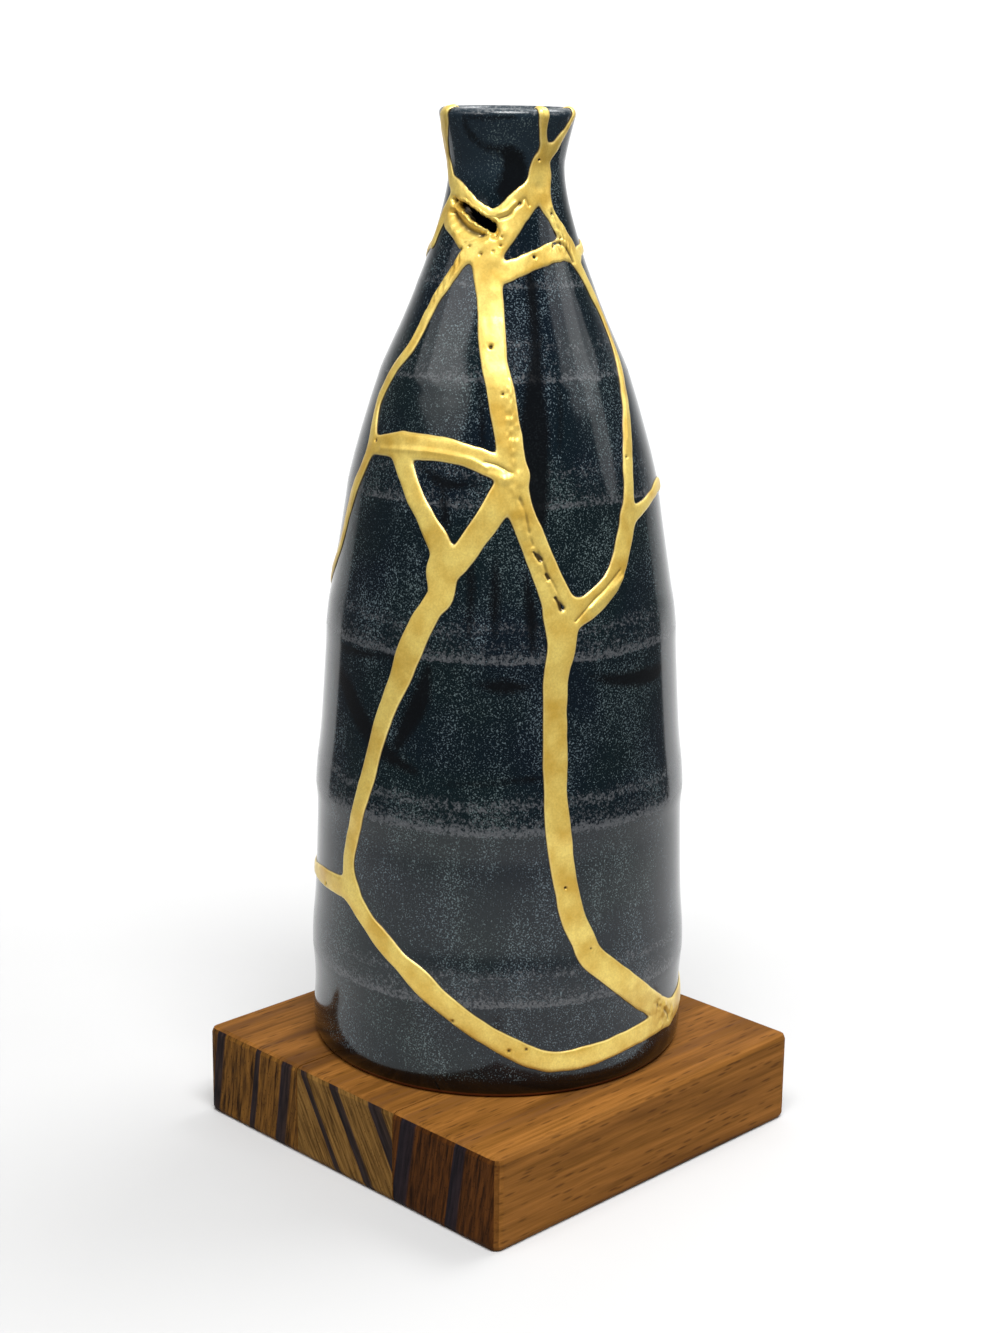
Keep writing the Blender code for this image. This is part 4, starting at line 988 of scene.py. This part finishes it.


# %% [markdown]
# ## Glaze
#
# The pot has a dark iron glaze over stoneware, fired glossy.  To the eye it is blue-black glass
# with a dense, fine, pale grain, and it is thinner and a little paler on the neck.  Above each
# throwing ring, where it ran thin, it is mottled grey: a band that ends in a crisp line below and
# breaks up into flecks above, and a second fringe of flecks that drifts a little higher.  Where it
# pooled it is pure black, and the same black is painted shade in a band just above the foot, where
# the glaze mirrors the plinth in shadow, and inside below the neck.  The lip is worn pale, and bare
# clay shows as a thin brown line at the foot.  All of it is colour; only the bands, the lip and the
# clay are also a little duller.

# %% Grain of the glaze
grain_size = 0.38 * millimetre
patch_size = 9.0 * millimetre
cloud_size = 3 * patch_size
thin_from = vase_bottom + 0.915 * vase_height
thin_to = vase_bottom + 0.945 * vase_height
glaze, tree, shader = new_finish("tenmoku_glaze")
place = add_node(tree, "TexCoord").outputs["Object"]
height_here = add_node(tree, "SeparateXYZ", place).outputs["Z"]
runny = add_node(tree, "Mapping", Vector=place, Scale=(1.0, 1.0, 0.45))
patches = add_node(tree, "TexNoise", Vector=runny, Scale=1 / patch_size, Detail=3.0, Distortion=0.4)
clouds = add_node(tree, "TexNoise", Vector=place, Scale=1 / cloud_size, Detail=2.0)
cloud_share = add_node(tree, "MapRange", clouds, 0.40, 0.60)
grain = add_node(tree, "TexNoise", Vector=place, Scale=1 / grain_size, Detail=2.0, Roughness=0.6)
lower_limit = add_node(tree, "MapRange", patches, 0.36, 0.62, 0.62, 0.52)
upper_limit = add_node(tree, "Math", lower_limit, 0.17, operation="ADD")
specks = add_node(tree, "MapRange", grain, lower_limit, upper_limit, 0.0, 0.9)
body_tone = add_node(tree, "Mix", cloud_share, "#040f18", "#061418", data_type="RGBA")
thin_on_neck = add_node(tree, "MapRange", height_here, thin_from, thin_to, 0.0, 0.85)
body_colour = add_node(tree, "Mix", thin_on_neck, body_tone, "#1d2932", data_type="RGBA")
speck_colour = add_node(tree, "Mix", cloud_share, "#65747b", "#637273", data_type="RGBA")
speckled = add_node(tree, "Mix", specks, body_colour, speck_colour, data_type="RGBA")
print("nodes for the grain:", len(tree.nodes))

# %% Mottled bands above the rings
mottle_size = 0.8 * millimetre
sway_size = 24.0 * millimetre
fray_size = 3.0 * millimetre
sway_height = 1.6 * millimetre
fray_height = 0.9 * millimetre
drift_height = 6.0 * millimetre
sway = add_node(tree, "TexNoise", Vector=place, Scale=1 / sway_size, Detail=2.0)
fray = add_node(tree, "TexNoise", Vector=place, Scale=1 / fray_size, Detail=3.0)
swayed = add_node(tree, "Math", sway, sway_height, height_here, operation="MULTIPLY_ADD")
frayed = add_node(tree, "Math", fray, fray_height, swayed, operation="MULTIPLY_ADD")
band_bottom = vase_bottom + (sway_height + fray_height) / 2
share_up = add_node(tree, "MapRange", frayed, band_bottom, band_bottom + vase_height)
drifted = add_node(tree, "Math", clouds, drift_height, frayed, operation="MULTIPLY_ADD")
fringe_bottom = band_bottom + drift_height / 2
drifted_share = add_node(tree, "MapRange", drifted, fringe_bottom, fringe_bottom + vase_height)

# %% Strength of the bands
band_strengths = [0.84, 0.96, 0.80, 0.68, 0.68, 0.60]
# Rise over the ring as a share of the vase's height, and the part of the band's strength that shows there
band_shape = [(-0.0012, 0.0), (0.0012, 1.0), (0.005, 0.95), (0.011, 0.58), (0.048, 0.0)]
fringe_shape = [(0.022, 0.0), (0.032, 0.66), (0.036, 0.60), (0.050, 0.0)]
ramps = []
for reading, shape in ((share_up, band_shape), (drifted_share, fringe_shape)):
    ramps.append(add_node(tree, "ValToRGB", reading))
    stops = [(0.0, 0.0)]
    for share, strength in zip(ring_shares, band_strengths):
        stops += [(share + rise, part * strength) for rise, part in shape]
    set_ramp(ramps[-1], stops)
bands = add_node(tree, "Math", *ramps, operation="MAXIMUM")
mottle = add_node(tree, "TexNoise", Vector=place, Scale=1 / mottle_size, Detail=4.0, Roughness=0.75)
mottle_low = add_node(tree, "Math", bands, 0.34, mottle, operation="MULTIPLY_ADD")
in_band = add_node(tree, "Math", bands, 0.02, operation="GREATER_THAN")
flecks = add_node(tree, "MapRange", mottle_low, 0.66, 0.80, 0.0, 0.9)
band_cover = add_node(tree, "Math", flecks, in_band, operation="MULTIPLY")
band_colour = add_node(tree, "Mix", grain, "#23272b", "#6c6e71", data_type="RGBA")
banded = add_node(tree, "Mix", band_cover, speckled, band_colour, data_type="RGBA")
print("bands of mottled glaze:", len(band_strengths))

# %% Pools with painted shade, and the worn lip
lip_top = vase_bottom + vase_height
wear_bottom = lip_top - 1.1 * millimetre
wear_top = lip_top - 0.1 * millimetre
# The attribute holds the black pools and painted shade: the band above the foot and the inside below the neck
# are painted black.
pool_and_shade_depth = add_node(tree, "Attribute", attribute_name="pool_and_shade_depth").outputs["Fac"]
pool_edge = add_node(tree, "Math", mottle, 3.0, pool_and_shade_depth, operation="MULTIPLY_ADD")
pooled = add_node(tree, "MapRange", pool_edge, 1.0, 2.5, 0.0, 0.95)
blackened = add_node(tree, "Mix", pooled, banded, "#030508", data_type="RGBA")
lip_share = add_node(tree, "MapRange", height_here, wear_bottom, wear_top, 0.0, 0.10)
lip_wear = add_node(tree, "Math", lip_share, mottle, operation="ADD")
worn = add_node(tree, "MapRange", lip_wear, 0.57, 0.72)
on_lip = add_node(tree, "Math", height_here, wear_bottom, operation="GREATER_THAN")
lip_worn = add_node(tree, "Math", worn, on_lip, operation="MULTIPLY")
lipped = add_node(tree, "Mix", lip_worn, blackened, "#6d7072", data_type="RGBA")

# %% Bare clay, and the gloss
clay_bottom = vase_bottom + 0.6 * millimetre
clay_top = vase_bottom + 0.9 * millimetre
clay_line = add_node(tree, "MapRange", height_here, clay_top, clay_bottom)
facing = add_node(tree, "NewGeometry").outputs["Normal"]
upward = add_node(tree, "SeparateXYZ", facing).outputs["Z"]
underneath = add_node(tree, "MapRange", upward, -0.5, -0.8)
near_foot = add_node(tree, "Math", height_here, vase_bottom + foot_level, operation="LESS_THAN")
under_foot_clay = add_node(tree, "Math", underneath, near_foot, operation="MULTIPLY")
bare = add_node(tree, "Math", clay_line, under_foot_clay, operation="MAXIMUM")
clayed = add_node(tree, "Mix", bare, lipped, "#7a4a30", data_type="RGBA")
dulled = add_node(tree, "MapRange", band_cover, 0.0, 1.0, 0.11, 0.22)
rubbed = add_node(tree, "Math", lip_share, 2.0, dulled, operation="MULTIPLY_ADD")
roughened = add_node(tree, "Math", bare, 0.60, rubbed, operation="MULTIPLY_ADD")
set_inputs(shader, {"Base Color": clayed, "Roughness": roughened, "IOR": 1.47})
for piece in shard_pieces:
    piece.data.materials.append(glaze)
print("glaze nodes:", len(tree.nodes))

# %% [markdown]
# ## Gold
#
# Gold powder on lacquer is metal, but matte: the grains point every way, so it shows its own
# yellow from all sides and only a soft shine.  A fully metallic shader would mostly mirror the dim
# room, so metal is only a part of this one.  A painted highlight, a pale line, runs just inside the
# gold's edge, where the rounded bead would catch the light.  The edge itself is a thin dark brown
# line.  The grooves, the pinholes, the deeper hollows and the inside of the open slot are painted
# shade, dark brown by how deep they lie.

# %% The gold material
cloud_size = 7.0 * millimetre
powder_size = 0.5 * millimetre
matte_size = 0.9 * millimetre
gold, tree, shader = new_finish("gold_powder_on_lacquer")
place = add_node(tree, "TexCoord").outputs["Object"]
depth_here = add_node(tree, "Attribute", attribute_name="edge_depth").outputs["Fac"]
painted_shade_here = add_node(tree, "Attribute", attribute_name="painted_shade_depth").outputs["Fac"]
cloud = add_node(tree, "TexNoise", Vector=place, Scale=1 / cloud_size, Detail=3.0)
cloud_share = add_node(tree, "MapRange", cloud, 0.35, 0.65)
powder = add_node(tree, "TexNoise", Vector=place, Scale=1 / powder_size, Detail=3.0, Roughness=0.7)
tone = add_node(tree, "Mix", cloud_share, "#d8b04a", "#f5db78", data_type="RGBA")
powder_share = add_node(tree, "MapRange", powder, 0.35, 0.70, 0.0, 0.32)
powdered = add_node(tree, "Mix", powder_share, tone, "#a98534", data_type="RGBA")
# Painted highlight: a pale line just inside the gold's edge, where the rounded bead would catch the light.
painted_highlight_rim = add_node(tree, "MapRange", depth_here, 0.55, 0.28, 0.0, 0.20)
highlighted_gold = add_node(tree, "Mix", painted_highlight_rim, powdered, "#fff0b0", data_type="RGBA")
# A thin dark brown line at the very edge of the gold.
thin = add_node(tree, "MapRange", depth_here, 0.22, 0.05)
edged = add_node(tree, "Mix", thin, highlighted_gold, "#3c270c", data_type="RGBA")
# Painted shade in the grooves, pinholes, hollows and the open slot.
painted_shade_share = add_node(tree, "MapRange", painted_shade_here, 0.10, 0.42, 0.0, 0.95)
shaded_gold = add_node(tree, "Mix", painted_shade_share, edged, "#2b1a08", data_type="RGBA")
grain = add_node(tree, "TexNoise", Vector=place, Scale=1 / matte_size, Detail=3.0)
bump = add_node(tree, "Bump", Height=grain, Strength=0.4, Distance=0.06 * millimetre)
set_inputs(shader, {"Base Color": shaded_gold, "Normal": bump, "Metallic": 0.40, "Roughness": 0.34})
for piece in gold_pieces + [slot_gold]:
    piece.data.materials.append(gold)
print("gold nodes:", len(tree.nodes))

# %% [markdown]
# ## Striped wood
#
# The plinth is glued from three boards of a brown hardwood with dark heartwood streaks.  On the
# end grain the streaks are slanted bands, at a different slant in each board; along the grain
# they are only faint lines.  A slab through the wood is a slanted sum of x and z, so one ramp over
# that sum colours the ends, the top and the sides alike.

# %% Dark slabs through a board
# Lean of the slabs, and for each its middle and half width as shares of the board, at the top edge;
# then the light and dark colour of the end grain
board_looks = {
    "plinth_board_1": (-0.14, [(0.165, 0.055), (0.58, 0.030), (0.90, 0.060)], "#7a5220", "#1c0e03"),
    "plinth_board_2": (0.60, [(0.05, 0.035), (0.38, 0.055), (0.80, 0.085)], "#83602f", "#3b270b"),
    "plinth_board_3": (-0.15, [(0.15, 0.080), (0.66, 0.058)], "#55300f", "#180901"),
}
# How bright the ramp is across a slab, in half widths from its middle
slab_shape = [(-1.0, 0.0), (-0.8, 1.0), (0.7, 0.9), (1.0, 0.0)]
bend_size = 4.0 * millimetre
bend_height = 1.6 * millimetre


def slabs_through(tree, place, box, slant, stripes):
    """A ramp that is white in the slabs, and the place drawn out along the wood and the slabs.

    The slab coordinate is x + slant * (z - height), so the shares hold at the board's top edge.
    """
    low, high = box
    split = add_node(tree, "SeparateXYZ", place).outputs
    lean = add_node(tree, "Math", split["Z"], slant, split["X"], operation="MULTIPLY_ADD")
    leant = add_node(tree, "CombineXYZ", lean, split["Y"], split["Z"])
    along = add_node(tree, "Mapping", Vector=leant, Scale=(1.0, 0.05, 0.10))
    bend = add_node(tree, "TexNoise", Vector=along, Scale=1 / bend_size, Detail=2.0)
    bent = add_node(tree, "Math", bend, bend_height, lean, operation="MULTIPLY_ADD")
    start = low.x + slant * high.z + bend_height / 2
    share = add_node(tree, "MapRange", bent, start, start + high.x - low.x)
    stops = [(0.0, 0.0)]
    for middle, half in stripes:
        stops += [(middle + part * half, brightness) for part, brightness in slab_shape]
    slabs = add_node(tree, "ValToRGB", share)
    set_ramp(slabs, stops)
    return slabs, along


# %% [markdown]
# Along the grain the wood shows fine fibres, a broad soft figure and short open pores.  Each is a
# pattern drawn out along y, the way that the fibres run.  The ends show close growth rings that
# follow the slabs, and round pores.

# %% Long grain and end grain
ring_size = 0.9 * millimetre
fibre_size = 1.1 * millimetre
figure_size = 9.0 * millimetre
long_pore_spacing = 1.2 * millimetre
end_pore_spacing = 1.1 * millimetre


def long_grain(tree, place):
    """Noise of the fibres, and the colour of the top and the long sides."""
    stretch = add_node(tree, "Mapping", Vector=place, Scale=(1.0, 0.035, 1.0))
    fibre = add_node(tree, "TexNoise", Vector=stretch, Scale=1 / fibre_size, Detail=4.0, Roughness=0.65)
    fibre_share = add_node(tree, "MapRange", fibre, 0.36, 0.66)
    broad = add_node(tree, "Mapping", Vector=place, Scale=(1.0, 0.12, 1.0))
    figure = add_node(tree, "TexNoise", Vector=broad, Scale=1 / figure_size, Detail=3.0, Distortion=0.8)
    figure_share = add_node(tree, "MapRange", figure, 0.44, 0.70, 0.0, 0.75)
    tone = add_node(tree, "Mix", fibre_share, "#6b4519", "#8b5b28", data_type="RGBA")
    figured = add_node(tree, "Mix", figure_share, tone, "#4f3010", data_type="RGBA")
    slits = add_node(tree, "Mapping", Vector=place, Scale=(1.0, 0.16, 1.0))
    pores = add_node(tree, "TexVoronoi", Vector=slits, Scale=1 / long_pore_spacing)
    pore = add_node(tree, "MapRange", pores, 0.30, 0.14, 0.0, 0.55)
    return fibre, add_node(tree, "Mix", pore, figured, "#3a220b", data_type="RGBA")


def end_grain(tree, place, ring_share, light, dark):
    """Colour of the board's ends: rings between the dark and the light, with dark pores."""
    tone = add_node(tree, "Mix", ring_share, dark, light, data_type="RGBA")
    pores = add_node(tree, "TexVoronoi", Vector=place, Scale=1 / end_pore_spacing)
    pore = add_node(tree, "MapRange", pores, 0.26, 0.12, 0.0, 0.5)
    return add_node(tree, "Mix", pore, tone, dark, data_type="RGBA")


# %% The wood materials
def wood_finish(name, slant, stripes, end_light, end_dark):
    """Oiled hardwood: long grain on top and at the sides, end grain at the ends, slabs through both."""
    material, tree, shader = new_finish(name + "_wood")
    place = add_node(tree, "TexCoord").outputs["Object"]
    slabs, along = slabs_through(tree, place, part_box(name), slant, stripes)
    rings = add_node(tree, "TexNoise", Vector=along, Scale=1 / ring_size, Detail=4.0, Roughness=0.65)
    ring_share = add_node(tree, "MapRange", rings, 0.34, 0.66)
    fibre, long_colour = long_grain(tree, place)
    end_colour = end_grain(tree, place, ring_share, end_light, end_dark)
    facing = add_node(tree, "NewGeometry").outputs["Normal"]
    lengthwise = add_node(tree, "SeparateXYZ", facing).outputs["Y"]
    end = add_node(tree, "Math", lengthwise, operation="ABSOLUTE")
    on_end = add_node(tree, "MapRange", end, 0.5, 0.9)
    wood = add_node(tree, "Mix", on_end, long_colour, end_colour, data_type="RGBA")
    slab_show = add_node(tree, "MapRange", on_end, 0.0, 1.0, 0.30, 0.95)
    streaky = add_node(tree, "MapRange", fibre, 0.36, 0.56)
    streak = add_node(tree, "Math", streaky, on_end, operation="MAXIMUM")
    shown = add_node(tree, "Math", slab_show, streak, operation="MULTIPLY")
    strength = add_node(tree, "Math", slabs, shown, operation="MULTIPLY")
    slab_colour = add_node(tree, "Mix", ring_share, "#0d0c11", "#1f1d25", data_type="RGBA")
    striped = add_node(tree, "Mix", strength, wood, slab_colour, data_type="RGBA")
    relief = add_node(tree, "Mix", on_end, fibre, rings, data_type="FLOAT")
    bump = add_node(tree, "Bump", Height=relief, Strength=0.4, Distance=0.12 * millimetre)
    set_inputs(shader, {"Base Color": striped, "Normal": bump, "Roughness": 0.70, "Specular IOR Level": 0.06})
    return material


for name, looks in board_looks.items():
    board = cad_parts[name]
    board.data.materials.clear()
    board.data.materials.append(wood_finish(name, *looks))
print("boards:", len(board_looks))

# %% [markdown]
# ## Studio
#
# The vase stands in a pale studio.  The floor is a white sheet that ends a little in front of the
# plinth and sweeps up behind, where it is painted a touch paler as painted light, in place of more
# light on the sweep.  A dark glossy glaze shows what is in front of it, so the room in front is kept
# dim; what lies behind is bright, and the glaze picks it up only at its edges, where it is seen at a
# glancing angle.  The lamps are high, so that the body doesn't mirror them, and only the sloping
# shoulder catches a dim window on either side as long soft streaks.

# %% Floor and sweep
def sweep_surface(near, half_angle, back, rise, bend):
    """A fan of white paper: a half disc round the plinth's front, widening behind, and bent up.

    Across the fan runs a bearing from straight behind the vase, and along it a distance.  Past
    the bend the distance turns a quarter circle and then climbs.
    """
    turn = np.linspace(0.0, math.pi / 2, 13)
    depth = np.concatenate([[0.0, near], back - bend + bend * np.sin(turn), [back]])
    up = np.concatenate([[0.0, 0.0], bend - bend * np.cos(turn), [rise]])
    across = np.radians(np.linspace(-180.0, 180.0, 73))
    wide = np.abs(across) > math.radians(half_angle)
    limit = np.where(wide, near, np.inf)
    far = depth[None, :] / np.cos(np.where(wide, 0.0, across))[:, None]
    far = np.where(np.arange(len(depth)) < 2, depth, far)
    far = np.minimum(far, limit[:, None])
    height = np.where(wide[:, None], 0.0, up[None, :])
    points = np.stack([far * np.sin(across)[:, None], far * np.cos(across)[:, None], height], axis=-1)
    around, along = far.shape
    i, j = np.meshgrid(np.arange(around - 1), np.arange(along - 1), indexing="ij")
    faces = quads(i * along, (i + 1) * along, j, j + 1)
    keep = ~(wide[:-1] | wide[1:])[:, None] | (j == 0)
    return points.reshape(-1, 3), faces[keep][:, ::-1]


look = Matrix.Rotation(math.radians(45.0), 4, "Z")
points, faces = sweep_surface(near=0.285, half_angle=56.0, back=1.6, rise=2.2, bend=0.6)
sweep_mesh = bpy.data.meshes.new("studio_floor")
sweep_mesh.from_pydata([tuple(look @ Vector(p)) for p in points], [], faces.tolist())
sweep_mesh.shade_smooth()
studio_floor = bpy.data.objects.new("studio_floor", sweep_mesh)
bpy.context.scene.collection.objects.link(studio_floor)
paper, tree, shader = new_finish("white_paper")
place = add_node(tree, "TexCoord").outputs["Object"]
straight_back = look @ Vector((0.0, 1.0, 0.0))
behind = add_node(tree, "VectorMath", place, straight_back, operation="DOT_PRODUCT")
# Painted light: behind the vase the paper is painted paler, in place of more light on the sweep that the
# glaze mirrors at its edges.
paler = add_node(tree, "MapRange", behind, 0.10, 0.35)
paper_tone_with_painted_light = add_node(tree, "Mix", paler, "#bababa", "#cccccc", data_type="RGBA")
set_inputs(shader, {"Base Color": paper_tone_with_painted_light, "Roughness": 0.9})
studio_floor.data.materials.append(paper)
print("floor faces:", len(faces))

# %% Lights
vase_middle = (0.0, 0.0, 0.12)


def softbox(name, azimuth, elevation, distance, size, power, aim=vase_middle):
    """A soft light that far from the vase, turned to the aim; azimuth 0 is the camera's side."""
    lamp = bpy.data.lights.new(name, "AREA")
    lamp.shape = "ELLIPSE"
    lamp.size, lamp.size_y = size
    lamp.energy = power
    angle = math.radians(front_bearing + azimuth)
    rise = math.radians(elevation)
    away = Vector((math.cos(rise) * math.cos(angle), math.cos(rise) * math.sin(angle), math.sin(rise)))
    light = bpy.data.objects.new(name, lamp)
    light.location = Vector(vase_middle) + away * distance
    light.rotation_euler = (light.location - Vector(aim)).to_track_quat("Z", "Y").to_euler()
    bpy.context.scene.collection.objects.link(light)
    return light


# Azimuth, elevation, distance, width and height, and power in watts.  Each window is a wide dim
# pane with a smaller one in it, so that its streak has soft edges
softboxes = {
    "front_softbox": (6.0, 62.0, 1.25, (0.9, 0.6), 26.0),
    "side_softbox": (128.0, 56.0, 1.25, (0.6, 0.6), 9.0),
    "left_window_glow": (-66.0, 33.0, 1.3, (1.50, 0.55), 2.2),
    "left_window_core": (-60.0, 34.0, 1.25, (0.90, 0.35), 1.0),
    "right_window_glow": (86.0, 32.0, 1.3, (1.10, 0.55), 1.6),
    "right_window_core": (88.0, 24.0, 1.25, (0.36, 0.75), 0.75),
}
for name, setting in softboxes.items():
    softbox(name, *setting)
backdrop = look @ Vector((0.0, 1.5, 0.25))
backdrop_light = softbox("backdrop_softbox", 180.0, 58.0, 1.7, (2.2, 0.9), 17.0, aim=backdrop)
backdrop_light.data.spread = math.radians(120.0)
world = bpy.data.worlds.new("dim_room")
world.use_nodes = True
set_inputs(world.node_tree.nodes["Background"], {"Color": "#ffffff", "Strength": 0.12})
bpy.context.scene.world = world
bpy.context.scene.view_settings.view_transform = "Standard"
print("lights:", len(softboxes) + 1)

# %% [markdown]
# ## Camera
#
# The camera stands where the photograph was taken from: half a metre away, a little above the
# rim, looking down by fifteen degrees, with a lens of about 64 mm on a full frame.

# %% Camera
camera_data = bpy.data.cameras.new("camera")
camera_data.sensor_width = 36.0
camera_data.lens = 63.7548
camera = bpy.data.objects.new("camera", camera_data)
camera.location = (0.37671, -0.37691, 0.25529)
camera.rotation_euler = [math.radians(a) for a in (75.091, -0.664, 45.24)]
bpy.context.scene.collection.objects.link(camera)
bpy.context.scene.camera = camera
print("camera at:", tuple(camera.location))
